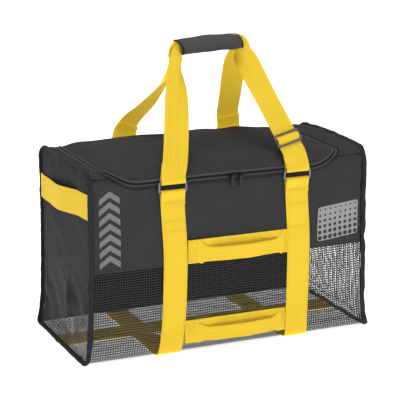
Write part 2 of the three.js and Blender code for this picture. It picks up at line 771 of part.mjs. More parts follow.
// A carry loop rises from the upper bars of two rings, leans in over the lid and gathers into the grip.
// Shares run from the ring to the grip's end: of its height, of its depth and of its place along the bag.
// The back left leg slants to the grip at once and the front right one runs nearly straight to it, where
// the other two swing in.
const LEG_ROWS = [
  { rise: 0.06, lean: 0, swing: 0.01, slant: 0.03, direct: 0.02, gather: 0, upright: 0 },
  { rise: 0.14, lean: 0.03, swing: 0.07, slant: 0.13, direct: 0.08, gather: 0, upright: 0 },
  { rise: 0.36, lean: 0.27, swing: 0.3, slant: 0.56, direct: 0.34, gather: 0, upright: 0 },
  { rise: 0.5, lean: 0.43, swing: 0.45, slant: 0.78, direct: 0.5, gather: 0, upright: 0 },
  { rise: 0.62, lean: 0.57, swing: 0.56, slant: 0.84, direct: 0.63, gather: 0.05, upright: 0 },
  { rise: 0.72, lean: 0.69, swing: 0.63, slant: 0.85, direct: 0.72, gather: 0.25, upright: 0.1 },
  { rise: 0.82, lean: 0.81, swing: 0.665, slant: 0.81, direct: 0.76, gather: 0.5, upright: 0.3 },
  { rise: 0.9, lean: 0.9, swing: 0.7, slant: 0.76, direct: 0.77, gather: 0.8, upright: 0.6 },
  { rise: 0.95, lean: 0.95, swing: 0.745, slant: 0.75, direct: 0.79, gather: 0.95, upright: 0.85 },
  { rise: 0.985, lean: 0.985, swing: 0.86, slant: 0.87, direct: 0.87, gather: 1, upright: 1 },
  { rise: 1, lean: 1, swing: 1, slant: 1, direct: 1, gather: 1, upright: 1 },
];
const LAYER_OFFSET = (WEBBING + GAP) / 2;
const ADJUSTER_OFFSET = LAYER_OFFSET + WEBBING / 2 + GAP + RING_THICKNESS / 2;
const WEAVE = ADJUSTER_OFFSET + RING_THICKNESS / 2 + 2 * GAP + WEBBING / 2 - LAYER_OFFSET;
const WEAVE_ROWS = [
  { share: -0.46, over: 0 },
  { share: -0.36, over: 0 },
  { share: -0.1, over: 1 },
  { share: 0.1, over: 1 },
  { share: 0.36, over: 0 },
  { share: 0.46, over: 0 },
];

function gripMiddle(x) {
  const share = (x - GRIP_LEFT) / (GRIP_RIGHT - GRIP_LEFT);
  return GRIP_HEIGHT + GRIP_ARCH * (1 - (2 * share - 1) ** 2);
}

/** The middle line of one leg, from just above the ring's bar to the grip's end. */
function legLine(bar, end) {
  const height = end.z - bar.z;
  const opposite = bar.x < 0 ? bar.y > 0 : bar.y < 0;
  return LEG_ROWS.map(({ rise, lean, swing, slant, direct, gather, upright }) => ({
    at: new THREE.Vector3(
      mix(bar.x, end.x, !opposite ? swing : bar.x < 0 ? slant : direct),
      mix(bar.y, end.y, lean),
      bar.z + height * rise,
    ),
    width: mix(WEBBING_WIDTH, GATHERED_WIDTH, gather),
    thickness: mix(WEBBING, 2 * WEBBING + GAP, gather * gather),
    upright,
  }));
}

/**
 * The directions of the webbing at a station: along it, across it, and outwards from its face. The face leans
 * as the leg leans, and turns upright as the webbing is gathered on edge into the grip.
 */
function aimed(station, along, face) {
  const lean = Math.atan2(-face * along.y, along.z) * (1 - station.upright);
  const facing = new THREE.Vector3(0, face * Math.cos(lean), Math.sin(lean));
  const across = along.clone().cross(facing).normalize();
  return { ...station, along, across, facing: across.clone().cross(along) };
}

/** One leg with the directions of each of its stations. The grip's middle lies beyond its last one. */
function legOf(bar, end, face) {
  const line = legLine(bar, end);
  return line.map((station, index) => {
    const from = index > 0 ? line[index - 1].at : bar;
    const to = index < line.length - 1 ? line[index + 1].at : new THREE.Vector3(0, end.y, end.z);
    return aimed(station, to.clone().sub(from).normalize(), face);
  });
}

function shifted(station, offset, along = 0) {
  const at = station.at.clone().addScaledVector(station.facing, offset).addScaledVector(station.along, along);
  return { ...station, at };
}

/** Where the adjuster sits on a leg: a station on its straight stretch. */
function adjusterStation(leg, face) {
  const [, low, high] = leg;
  const along = high.at.clone().sub(low.at).normalize();
  const way = (ADJUSTER_RISE - (low.at.z - leg[0].at.z)) / along.z;
  return aimed({ ...low, at: low.at.clone().addScaledVector(along, way) }, along, face);
}

/** All the stations of one leg from its tail's end, round the ring's bar and up to the grip. */
function legStations(bar, end, face, adjusted) {
  const leg = legOf(bar, end, face);
  const upAcross = new THREE.Vector3(-face, 0, 0);
  const tailRows = leg.filter((station) => station.at.z - bar.z < TAIL_LENGTH);
  const tail = tailRows.map((station) => shifted(station, -LAYER_OFFSET)).reverse();
  const fold = stops(0, Math.PI, 5).map((turn) => {
    const out = face * -FOLD_RADIUS * Math.cos(turn);
    const at = bar.clone().add(new THREE.Vector3(0, out, -FOLD_RADIUS * Math.sin(turn)));
    return { at, across: upAcross, width: WEBBING_WIDTH, thickness: WEBBING };
  });
  const main = leg.map((station) => shifted(station, LAYER_OFFSET));
  if (adjusted) {
    const middle = adjusterStation(leg, face);
    const woven = WEAVE_ROWS.map(({ share, over }) =>
      shifted(middle, LAYER_OFFSET + WEAVE * over, share * ADJUSTER_HEIGHT),
    );
    main.splice(2, 0, ...woven);
  }
  return [...tail, ...fold, ...main];
}

function upperBar(centre, face) {
  const middle = ringCentre(centre, face);
  return middle.setZ(middle.z + BAR_CENTRES / 2);
}

function gripEnd(x, face) {
  return new THREE.Vector3(x, (face * LOOP_SPACING) / 2, gripMiddle(x));
}

function buildLoop(word, face) {
  const left = legStations(upperBar(STRAP_LEFT, face), gripEnd(GRIP_LEFT, face), face, false);
  const right = legStations(upperBar(STRAP_RIGHT, face), gripEnd(GRIP_RIGHT, face), face, face < 0);
  const inGrip = stops(GRIP_LEFT, GRIP_RIGHT, 6)
    .slice(1, -1)
    .map((x) => ({ ...left.at(-1), at: new THREE.Vector3(x, left.at(-1).at.y, gripMiddle(x)) }));
  const stations = [...left, ...inGrip, ...right.reverse()];
  let hand = stations[0].across;
  const placed = stations.map((station, index) => {
    const before = stations[Math.max(0, index - 1)].at;
    const after = stations[Math.min(stations.length - 1, index + 1)].at;
    const along = after.clone().sub(before).normalize();
    const across = station.across.clone().multiplyScalar(station.across.dot(hand) < 0 ? -1 : 1);
    hand = across;
    return { ...station, across, out: along.cross(across).normalize() };
  });
  addMesh(`${word}_carry_loop`, ribbon(placed), YELLOW);
}

buildLoop("front", -1);
buildLoop("back", 1);

function buildAdjuster() {
  const leg = legOf(upperBar(STRAP_RIGHT, -1), gripEnd(GRIP_RIGHT, -1), -1);
  const seat = shifted(adjusterStation(leg, -1), ADJUSTER_OFFSET);
  const window = (ADJUSTER_HEIGHT - 3 * ADJUSTER_BAR) / 2;
  const place = (ADJUSTER_BAR + window) / 2;
  const geometry = plateFrame(RING_WIDTH, ADJUSTER_HEIGHT, RING_THICKNESS, [
    { at: -place, tall: window },
    { at: place, tall: window },
  ]);
  const adjuster = addMesh("strap_adjuster", geometry, DARK_METAL);
  adjuster.position.copy(seat.at);
  const turned = new THREE.Matrix4().makeBasis(seat.across, seat.along.clone().cross(seat.across), seat.along);
  adjuster.setRotationFromMatrix(turned);
}

buildAdjuster();

// The padded grip is a flattened sleeve, slightly arched, with both carry loops inside it.
function buildGrip() {
  const around = 16;
  const geometry = wall(
    around,
    6,
    (row, column, side) => {
      const turn = (2 * Math.PI * row) / around;
      const x = mix(GRIP_LEFT, GRIP_RIGHT, column / 6);
      const y = (GRIP_DEPTH / 2 - (1 - side) * GRIP_WALL) * Math.cos(turn);
      const z = gripMiddle(x) + (GRIP_THICKNESS / 2 - (1 - side) * GRIP_WALL) * Math.sin(turn);
      return new THREE.Vector3(x, y, z);
    },
    () => true,
    true,
  );
  addMesh("grip", geometry, CHARCOAL);
}

buildGrip();

function solidOf(geometry) {
  const bare = geometry.clone();
  bare.deleteAttribute("normal");
  bare.deleteAttribute("uv");
  const merged = mergeVertices(bare);
  const mesh = new wasm.Mesh({
    numProp: 3,
    vertProperties: new Float32Array(merged.attributes.position.array),
    triVerts: new Uint32Array(merged.index.array),
  });
  return new wasm.Manifold(mesh);
}

function geometryOf(solid) {
  const { vertProperties, triVerts } = solid.getMesh();
  const geometry = new THREE.BufferGeometry();
  geometry.setAttribute("position", new THREE.BufferAttribute(new Float32Array(vertProperties), 3));
  geometry.setIndex(Array.from(triVerts));
  geometry.computeVertexNormals();
  return geometry;
}

function box(sizeX, sizeY, sizeZ, x, y, z) {
  return solidOf(new THREE.BoxGeometry(sizeX, sizeY, sizeZ).translate(x, y, z));
}

// Each slider lies on the zip and carries a bar on two posts, and its pull hangs on the bar by an eye.
// Both are drawn round the bar's middle, with -Y away from the bag.
const SLIDER_BACK = PIVOT_LIFT - GAP;
const POST = 2;

function sliderGeometry() {
  const bodyMiddle = SLIDER_BACK - SLIDER_THICKNESS / 2;
  const postMiddle = (SLIDER_BACK - SLIDER_THICKNESS - BRIDGE_BAR / 2) / 2;
  const postLength = SLIDER_BACK - SLIDER_THICKNESS + BRIDGE_BAR / 2 + GAP;
  const postX = (SLIDER_LENGTH - POST) / 2;
  return geometryOf(
    box(SLIDER_LENGTH, SLIDER_THICKNESS, SLIDER_HEIGHT, 0, bodyMiddle, 0)
      .add(box(POST, postLength, BRIDGE_BAR, -postX, postMiddle + GAP / 2, 0))
      .add(box(POST, postLength, BRIDGE_BAR, postX, postMiddle + GAP / 2, 0))
      .add(box(SLIDER_LENGTH, BRIDGE_BAR, BRIDGE_BAR, 0, 0, 0)),
  );
}

function pullGeometry() {
  const outer = EYE_HOLE + EYE_WALL;
  const half = PULL_THICKNESS / 2;
  const drop = Math.sqrt(outer ** 2 - half ** 2);
  const start = Math.atan2(-drop, half);
  const outline = new THREE.Shape();
  outline.moveTo(half, -drop);
  outline.absarc(0, 0, outer, start, Math.PI - start, false);
  outline.lineTo(-half, -PULL_LENGTH);
  outline.lineTo(half, -PULL_LENGTH);
  const eye = new THREE.Path();
  eye.absarc(0, 0, EYE_HOLE, 0, 2 * Math.PI);
  outline.holes.push(eye);
  const geometry = new THREE.ExtrudeGeometry(outline, { depth: PULL_WIDTH, bevelEnabled: false, curveSegments: 8 });
  geometry.translate(0, 0, -PULL_WIDTH / 2);
  geometry.rotateY(Math.PI / 2);
  geometry.rotateX(Math.PI / 2);
  return geometry;
}

const zipHeight = LID_FRONT_HEIGHT - ZIP_WIDTH / 2;
SLIDER_POSITIONS.forEach((x, index) => {
  const pivot = settle(x, -HALF_DEPTH, zipHeight);
  pivot.y -= PIVOT_LIFT;
  const slider = addMesh(`zip_slider_${index + 1}`, sliderGeometry(), BLACK);
  slider.position.copy(pivot);
  const pull = addMesh(`zip_pull_${index + 1}`, pullGeometry(), BLACK);
  pull.position.copy(pivot);
});

export default bag;
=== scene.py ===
"""A mesh dive gear bag in charcoal cloth, coarse black net and yellow webbing, dressed on its CAD frame."""
import math

import bpy
import numpy as np
from mathutils import Matrix, Vector


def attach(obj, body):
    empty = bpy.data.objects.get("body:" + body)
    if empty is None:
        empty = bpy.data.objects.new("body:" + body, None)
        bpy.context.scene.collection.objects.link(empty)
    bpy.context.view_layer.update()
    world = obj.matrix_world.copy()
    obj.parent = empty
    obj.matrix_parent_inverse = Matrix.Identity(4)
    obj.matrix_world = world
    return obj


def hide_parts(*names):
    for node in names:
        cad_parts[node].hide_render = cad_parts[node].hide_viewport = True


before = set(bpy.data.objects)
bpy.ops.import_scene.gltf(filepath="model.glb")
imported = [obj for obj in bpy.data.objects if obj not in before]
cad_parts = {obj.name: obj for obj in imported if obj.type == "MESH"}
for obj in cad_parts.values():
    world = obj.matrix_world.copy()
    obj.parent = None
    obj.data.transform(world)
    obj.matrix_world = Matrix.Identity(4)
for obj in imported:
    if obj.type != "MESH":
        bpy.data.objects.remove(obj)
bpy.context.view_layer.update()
scene = bpy.context.scene

# Camera. It stands to the left of the bag's front and a little above it, as the photographer did,
# with a long lens and no shift.
CAMERA_AZIMUTH = -0.414681
CAMERA_ELEVATION = 0.251834
CAMERA_ROLL = 0.001798
CAMERA_PLACE = (-1.224789, -2.771226, 1.053509)
CAMERA_FOCUS_PIXELS = 1500.294
PHOTO_WIDTH = 400
SENSOR_WIDTH = 36


def camera_turn(azimuth, elevation, roll):
    """The camera's axes: right is level, back points from the bag to the camera, roll turns both."""
    back = np.array([
        math.sin(azimuth) * math.cos(elevation),
        -math.cos(azimuth) * math.cos(elevation),
        math.sin(elevation),
    ])
    level = np.array([math.cos(azimuth), math.sin(azimuth), 0])
    upright = np.cross(back, level)
    right = math.cos(roll) * level + math.sin(roll) * upright
    up = math.cos(roll) * upright - math.sin(roll) * level
    return Matrix(np.stack([right, up, back], axis=1).tolist())


camera_data = bpy.data.cameras.new("camera")
camera_data.sensor_width = SENSOR_WIDTH
camera_data.lens = CAMERA_FOCUS_PIXELS / PHOTO_WIDTH * SENSOR_WIDTH
camera_data.clip_end = 50
camera = bpy.data.objects.new("camera", camera_data)
scene.collection.objects.link(camera)
camera.location = CAMERA_PLACE
camera.rotation_euler = camera_turn(CAMERA_AZIMUTH, CAMERA_ELEVATION, CAMERA_ROLL).to_euler()
scene.camera = camera
scene.view_settings.view_transform = "Standard"

# Studio. A white sweep that glows a little, as a light table does, so that the net is seen against
# white from below. One large soft light stands in front to the left, and one above.
FLOOR_SIZE = 14
FLOOR_GLOW = 0.8
ROOM_LIGHT = 0.46
PURE_WHITE = (1, 1, 1, 1)
STUDIO_WHITE = (0.95, 0.95, 0.95, 1)
LIGHTS = [
    {"name": "key light", "place": (0.5, -3.6, 1.8), "aim": (0, 0, 0.2), "size": 2.0, "power": 28},
    {"name": "top light", "place": (-0.4, 0.2, 3.2), "aim": (0, 0, 0.3), "size": 2.4, "power": 62},
]


def new_material(name, colour, roughness, **sockets):
    """A Principled material with its even values set on its shader. Gives it, its tree and its shader."""
    material = bpy.data.materials.new(name)
    material.use_nodes = True
    shader = material.node_tree.nodes["Principled BSDF"]
    shader.inputs["Base Color"].default_value = colour
    shader.inputs["Roughness"].default_value = roughness
    for socket, value in sockets.items():
        shader.inputs[socket.replace("_", " ")].default_value = value
    return material, material.node_tree, shader


floor_mesh = bpy.data.meshes.new("floor")
corners = [(FLOOR_SIZE * x, FLOOR_SIZE * y, 0) for x, y in ((-1, -1), (1, -1), (1, 1), (-1, 1))]
floor_mesh.from_pydata(corners, [], [(0, 1, 2, 3)])
floor = bpy.data.objects.new("floor", floor_mesh)
scene.collection.objects.link(floor)
floor_finish, _, floor_shader = new_material("floor white", STUDIO_WHITE, 0.9)
floor_shader.inputs["Emission Color"].default_value = PURE_WHITE
floor_shader.inputs["Emission Strength"].default_value = FLOOR_GLOW
floor_mesh.materials.append(floor_finish)

world = bpy.data.worlds.new("studio")
world.use_nodes = True
world.node_tree.nodes["Background"].inputs["Color"].default_value = PURE_WHITE
world.node_tree.nodes["Background"].inputs["Strength"].default_value = ROOM_LIGHT
scene.world = world

for light in LIGHTS:
    lamp = bpy.data.lights.new(light["name"], "AREA")
    lamp.size = light["size"]
    lamp.energy = light["power"]
    stand = bpy.data.objects.new(light["name"], lamp)
    place = Matrix.Translation(light["place"])
    towards = (np.array(light["aim"]) - np.array(light["place"])).tolist()
    stand.matrix_world = place @ Vector(towards).to_track_quat("-Z", "Y").to_matrix().to_4x4()
    scene.collection.objects.link(stand)

# The body's cloth. Matt charcoal nylon with a dark coating inside, cut in panels: the lid, the front with
# its two ears, a strip of the top at each end, the back and the two ends. All share one settled form.
BODY_LENGTH = 0.6
BODY_DEPTH = 0.3
FLAT_TOP = 0.388
TOP_RADIUS = 0.03
BASE_RADIUS = 0.01
BASE_HEIGHT = 0.0048
TOP_CROWN = 0.007
MIDDLE_RISE = 0.006
FRONT_BULGE = 0.004
END_BULGE = 0.006
FOOT_FLARE = 0.011
FLARE_HEIGHT = 0.075
LOWER_BULGE = 0.004
LOWER_BULGE_HEIGHT = 0.233
RIM_HOLLOW = 0.013
RIM_HOLLOW_REACH = 0.024
SHOULDER_HEIGHT = 0.33
LID_LEFT = 0.266
LID_RIGHT = 0.242
LID_FRONT_HEIGHT = 0.363
LID_CORNER_ALONG = 0.07
LID_CORNER_UP = 0.055
LID_BACK_HEIGHT = 0.356
ZIP_WIDTH = 0.013
FRONT_SEAM_HEIGHT = 0.378
NET_LINE = 0.188
END_NET_FALL = 0.026
CLOTH = 0.0014
SEAM_GAP = 0.0004
BINDING_WIDTH = 0.011
HALF_LENGTH = BODY_LENGTH / 2
HALF_DEPTH = BODY_DEPTH / 2
WALL_END = HALF_LENGTH - BINDING_WIDTH / 2 + 0.0008
FOOT = BASE_HEIGHT + BASE_RADIUS
WALL_RISE = FLAT_TOP - TOP_RADIUS - FOOT
TOP_ARC = math.pi / 2 * TOP_RADIUS
BASE_ARC = math.pi / 2 * BASE_RADIUS
TOP_RUN = BODY_DEPTH - 2 * TOP_RADIUS
BASE_RUN = BODY_DEPTH - 2 * BASE_RADIUS
GIRTH_RUNS = [
    (WALL_RISE, 0), (TOP_ARC, TOP_RADIUS), (TOP_RUN, 0), (TOP_ARC, TOP_RADIUS),
    (WALL_RISE, 0), (BASE_ARC, BASE_RADIUS), (BASE_RUN, 0), (BASE_ARC, BASE_RADIUS),
]
GIRTH = sum(length for length, _ in GIRTH_RUNS)


def ease(share):
    """3s² - 2s³ of the share held between 0 and 1."""
    held = np.clip(share, 0, 1)
    return held * held * (3 - 2 * held)


def mix(start, end, share):
    return start + (end - start) * share


def settle(x, y, z):
    """The straight box eased into the slack bag: feet spread, walls full, top crowned, sunk by its rims."""
    x, y, z = np.broadcast_arrays(x, y, z)
    along, across = x / HALF_LENGTH, y / HALF_DEPTH
    belly = np.sin(np.pi * np.clip(z / FLAT_TOP, 0, 1))
    foot = np.maximum(0, 1 - z / FLARE_HEIGHT)
    spread = FOOT_FLARE * foot**2 + LOWER_BULGE * (1 - ease(z / LOWER_BULGE_HEIGHT))
    over_top = ease((z - SHOULDER_HEIGHT) / (FLAT_TOP - SHOULDER_HEIGHT))
    beside_rim = (np.abs(x) - np.where(x < 0, LID_LEFT, LID_RIGHT)) / RIM_HOLLOW_REACH
    crown = TOP_CROWN * np.maximum(0, 1 - across**2) + MIDDLE_RISE * np.maximum(0, 1 - along**2)
    hollow = RIM_HOLLOW * np.exp(-(beside_rim**2)) * np.maximum(0, 1 - across**4)
    return np.stack([
        x + along * (spread + END_BULGE * belly * np.maximum(0, 1 - across**2)),
        y + across * FRONT_BULGE * belly * np.maximum(0, 1 - along**2),
        z + over_top * (crown - hollow),
    ], axis=-1)


def girth(way, lift):
    """The body's outline across its length, from the front wall's foot up, over, down and under the base."""
    left = np.mod(way, GIRTH)
    heading = np.full_like(left, math.pi / 2)
    y = np.full_like(left, -HALF_DEPTH)
    z = np.full_like(left, FOOT)
    for length, radius in GIRTH_RUNS:
        step = np.clip(left, 0, length)
        if radius:
            turned = heading - step / radius
            y = y + (np.sin(heading) - np.sin(turned)) * radius
            z = z + (np.cos(turned) - np.cos(heading)) * radius
            heading = turned
        else:
            y = y + np.cos(heading) * step
            z = z + np.sin(heading) * step
        left = left - step
    return y - np.sin(heading) * lift, z + np.cos(heading) * lift


def skin(x, way, lift=0.0):
    """A point on the settled body, at x and a way round its girth, lifted off the cloth's face."""
    x, way = np.broadcast_arrays(np.asarray(x, float), np.asarray(way, float))
    y, z = girth(way, lift)
    return settle(x, y, z)


def front_way(height):
    return height - FOOT


def back_way(height):
    return WALL_RISE + 2 * TOP_ARC + TOP_RUN + FLAT_TOP - TOP_RADIUS - height


LID_FRONT_WAY = front_way(LID_FRONT_HEIGHT)
LID_BACK_WAY = back_way(LID_BACK_HEIGHT)
SEAM_WAY = front_way(FRONT_SEAM_HEIGHT)
BACK_FOOT = back_way(FOOT)


def corner_way(turn, outside):
    """The way round the girth on the lid's rounded corner: turn is 0 at its side and 1 at its front."""
    return LID_FRONT_WAY + LID_CORNER_UP - (LID_CORNER_UP + outside) * np.sin(math.pi / 2 * turn)


def lid_reach(way, side, outside):
    """x of the lid's edge at a way round the girth: a quarter ellipse, then straight over the top."""
    reach = LID_LEFT if side < 0 else LID_RIGHT
    below = np.clip((LID_FRONT_WAY + LID_CORNER_UP - way) / (LID_CORNER_UP + outside), 0, 1)
    rounded = (LID_CORNER_ALONG + outside) * np.sqrt(1 - below**2)
    return side * (reach - LID_CORNER_ALONG + rounded)


def waves(u, v, seed, shortest, longest, count=12):
    """Soft unevenness from -1 to 1: the mean of plane waves of many lengths, directions and starts."""
    draw = np.random.default_rng(seed)
    total = np.zeros(np.broadcast(u, v).shape)
    for _ in range(count):
        length = shortest * (longest / shortest) ** draw.random()
        angle = draw.random() * math.pi
        start = draw.random() * 2 * math.pi
        total = total + np.sin((u * math.cos(angle) + v * math.sin(angle)) * 2 * math.pi / length + start)
    return total / math.sqrt(count * 2)


def grid_quads(rows, columns, keep=None, ring=False):
    """Corner numbers of the quads of a grid of points, without the cells that keep leaves out."""
    numbers = np.arange(rows * columns).reshape(rows, columns)
    if ring:
        numbers = np.vstack([numbers, numbers[:1]])
    quads = np.stack([numbers[:-1, :-1], numbers[:-1, 1:], numbers[1:, 1:], numbers[1:, :-1]], axis=-1)
    return quads.reshape(-1, 4) if keep is None else quads[keep]


def add_piece(name, points, quads, uv, material):
    """A mesh object at the origin from arrays of points, quads and the UV place of every point in metres."""
    mesh = bpy.data.meshes.new(name)
    used, numbers = np.unique(quads, return_inverse=True)
    numbers = numbers.reshape(-1)
    places = points.reshape(-1, 3)[used]
    mesh.vertices.add(len(places))
    mesh.vertices.foreach_set("co", places.ravel())
    mesh.loops.add(len(numbers))
    mesh.loops.foreach_set("vertex_index", numbers)
    mesh.polygons.add(len(quads))
    mesh.polygons.foreach_set("loop_start", np.arange(len(quads)) * 4)
    mesh.polygons.foreach_set("use_smooth", np.ones(len(quads), bool))
    layer = mesh.uv_layers.new(name="UVMap")
    layer.data.foreach_set("uv", uv.reshape(-1, 2)[used][numbers].ravel())
    mesh.update(calc_edges=True)
    mesh.validate()
    mesh.materials.append(material)
    piece = bpy.data.objects.new(name, mesh)
    scene.collection.objects.link(piece)
    return piece


BODY_MIDDLE = np.array([0, 0, 0.19])


def outward_normals(points):
    """Unit normals of a grid of points, the cross product of its directions, away from the middle."""
    normals = np.cross(np.gradient(points, axis=0), np.gradient(points, axis=1))
    normals /= np.maximum(np.linalg.norm(normals, axis=-1, keepdims=True), 1e-12)
    outward = np.sign(np.sum(normals * (points - BODY_MIDDLE)))
    return normals * outward, outward


def add_cloth(name, points, uv, height, material, thickness=CLOTH, keep=None):
    """A panel: a grid of points pushed along its normals by height, then given thickness to the inside."""
    normals, outward = outward_normals(points)
    raised = points + normals * height[..., None]
    quads = grid_quads(*points.shape[:2], keep)
    piece = add_piece(name, raised, quads[:, ::-1] if outward > 0 else quads, uv, material)
    wall = piece.modifiers.new("thickness", "SOLIDIFY")
    wall.thickness = thickness
    wall.offset = -1
    return piece


def add_node(tree, kind, *inputs, **settings):
    """One shader node. Each input is a value or another node's output, in the order of the sockets."""
    node = tree.nodes.new(kind)
    for name, value in settings.items():
        setattr(node, name, value)
    for socket, value in zip(node.inputs, inputs):
        if isinstance(value, bpy.types.NodeSocket):
            tree.links.new(value, socket)
        elif value is not None:
            socket.default_value = value
    return node


def math_node(tree, operation, *inputs):
    return add_node(tree, "ShaderNodeMath", *inputs, operation=operation).outputs[0]


def worker(tree):
    """A short way to add math nodes to one tree: work("ADD", a, b)."""
    def work(operation, *inputs):
        return math_node(tree, operation, *inputs)
    return work


def put(piece, node=None):
    """The CAD node a piece stands for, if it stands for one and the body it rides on."""
    if node:
        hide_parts(node)
    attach(piece, "bag")


def new_group(name, inputs, outputs):
    """A shader node group with float or vector sockets. Gives its tree and its two end nodes."""
    tree = bpy.data.node_groups.new(name, "ShaderNodeTree")
    for word, kind, value in inputs:
        socket = tree.interface.new_socket(name=word, in_out="INPUT", socket_type=kind)
        if value is not None:
            socket.default_value = value
    for word, kind in outputs:
        tree.interface.new_socket(name=word, in_out="OUTPUT", socket_type=kind)
    return tree, tree.nodes.new("NodeGroupInput"), tree.nodes.new("NodeGroupOutput")


def weave_group():
    """Plain weave. Two sets of rounded threads, over and under by turns, give a height and a painted shade,
    darker where the threads dip.
    """
    tree, given, made = new_group(
        "weave",
        [
            ("Place", "NodeSocketVector", None),
            ("Warp pitch", "NodeSocketFloat", 0.001),
            ("Weft pitch", "NodeSocketFloat", 0.001),
        ],
        [("Height", "NodeSocketFloat"), ("Shade", "NodeSocketFloat")],
    )
    apart = add_node(tree, "ShaderNodeSeparateXYZ", given.outputs["Place"])
    warp = math_node(tree, "DIVIDE", apart.outputs[0], given.outputs["Warp pitch"])
    weft = math_node(tree, "DIVIDE", apart.outputs[1], given.outputs["Weft pitch"])
    warp_wave = math_node(tree, "SINE", math_node(tree, "MULTIPLY", warp, 2 * math.pi))
    weft_wave = math_node(tree, "SINE", math_node(tree, "MULTIPLY", weft, 2 * math.pi))
    height = math_node(tree, "MULTIPLY", warp_wave, weft_wave)
    tree.links.new(height, made.inputs["Height"])
    shade = math_node(tree, "MULTIPLY_ADD", height, 0.5, 0.5)
    tree.links.new(shade, made.inputs["Shade"])
    return tree


def mottle_group():
    """Unevenness of dye and wear. Coarse and fine noise together make one value near a half."""
    tree, given, made = new_group(
        "mottle",
        [("Place", "NodeSocketVector", None), ("Scale", "NodeSocketFloat", 20.0)],
        [("Value", "NodeSocketFloat")],
    )
    coarse = add_node(tree, "ShaderNodeTexNoise", given.outputs["Place"])
    tree.links.new(given.outputs["Scale"], coarse.inputs["Scale"])
    coarse.inputs["Detail"].default_value = 3
    fine = add_node(tree, "ShaderNodeTexNoise", given.outputs["Place"])
    tree.links.new(math_node(tree, "MULTIPLY", given.outputs["Scale"], 14), fine.inputs["Scale"])
    fine.inputs["Detail"].default_value = 2
    coarse_share = math_node(tree, "MULTIPLY", coarse.outputs[0], 0.6)
    both = math_node(tree, "MULTIPLY_ADD", fine.outputs[0], 0.4, coarse_share)
    tree.links.new(both, made.inputs["Value"])
    return tree


WEAVE = weave_group()
MOTTLE = mottle_group()


def woven(name, dark, light, roughness, warp, weft, relief, mottle_scale, **sockets):
    """A woven finish. Colour runs between two tones by a painted shade, darker where the threads dip, and by
    mottle, and the threads stand in relief.
    """
    material, tree, shader = new_material(name, light, roughness, **sockets)
    place = add_node(tree, "ShaderNodeTexCoord")
    weave = add_node(tree, "ShaderNodeGroup", node_tree=WEAVE)
    tree.links.new(place.outputs["UV"], weave.inputs["Place"])
    weave.inputs["Warp pitch"].default_value = warp
    weave.inputs["Weft pitch"].default_value = weft
    mottle = add_node(tree, "ShaderNodeGroup", node_tree=MOTTLE)
    tree.links.new(place.outputs["Object"], mottle.inputs["Place"])
    mottle.inputs["Scale"].default_value = mottle_scale
    wear = math_node(tree, "MULTIPLY", mottle.outputs[0], 0.6)
    # Painted shade: the colour darkens where the threads dip, and the mottle varies it at random.
    share = math_node(tree, "MULTIPLY_ADD", weave.outputs["Shade"], 0.45, wear)
    tone = add_node(tree, "ShaderNodeMix", data_type="RGBA")
    tree.links.new(share, tone.inputs["Factor"])
    tone.inputs[6].default_value = dark
    tone.inputs[7].default_value = light
    tree.links.new(tone.outputs[2], shader.inputs["Base Color"])
    bump = add_node(tree, "ShaderNodeBump")
    bump.inputs["Strength"].default_value = 0.5
    bump.inputs["Distance"].default_value = relief
    tree.links.new(weave.outputs["Height"], bump.inputs["Height"])
    tree.links.new(bump.outputs[0], shader.inputs["Normal"])
    return material, tree, shader, tone


CHARCOAL_DARK = (0.028, 0.028, 0.03, 1)
CHARCOAL_LIGHT = (0.05, 0.05, 0.053, 1)
PRINT_GREY = (0.19, 0.19, 0.19, 1)
PATCH_GREY = (0.3, 0.3, 0.3, 1)
CLOTH_PITCH = 0.0011


def charcoal_cloth(name):
    """The body's nylon, matt and hardly shining."""
    return woven(
        name, CHARCOAL_DARK, CHARCOAL_LIGHT, 0.8, CLOTH_PITCH, CLOTH_PITCH, 0.0003, 14,
        Specular_IOR_Level=0.06,
    )


charcoal, _, _, _ = charcoal_cloth("charcoal nylon")

# Two generic marks in grey transfer film on the front: a column of chevrons and a patch of dots.
CHEVRON_MIDDLE = -0.2605
CHEVRON_HALF_WIDTH = 0.0215
CHEVRON_LOW = 0.2125
CHEVRON_HIGH = 0.3615
CHEVRON_PITCH = 0.0213
CHEVRON_SLOPE = 0.7
CHEVRON_SOLID = 0.56
PATCH_MIDDLE = (0.2395, 0.242)
PATCH_HALF = (0.047, 0.036)
PATCH_RADIUS = 0.006
PATCH_SHEAR = 0.0975
DOT_PITCH = 0.0118
DOT_MIDDLE = 0.27
DOT_GROWTH = -0.14
MARKS_FRONT = -0.14


def between(work, value, low, high):
    """1 where low < value < high."""
    return work("MULTIPLY", work("GREATER_THAN", value, low), work("LESS_THAN", value, high))


def distance(work, a, b):
    """The square root of a² + b²."""
    return work("SQRT", work("ADD", work("POWER", a, 2), work("POWER", b, 2)))


def past_edge(work, value, half):
    """How far a value lies past the straight part of a rounded box's half side, and 0 within it."""
    return work("MAXIMUM", work("SUBTRACT", work("ABSOLUTE", value), half - PATCH_RADIUS), 0)


def in_cell(work, value):
    """The place in a cell of the pattern of dots, from -0.5 to 0.5."""
    return work("SUBTRACT", work("FRACT", work("DIVIDE", value, DOT_PITCH)), 0.5)


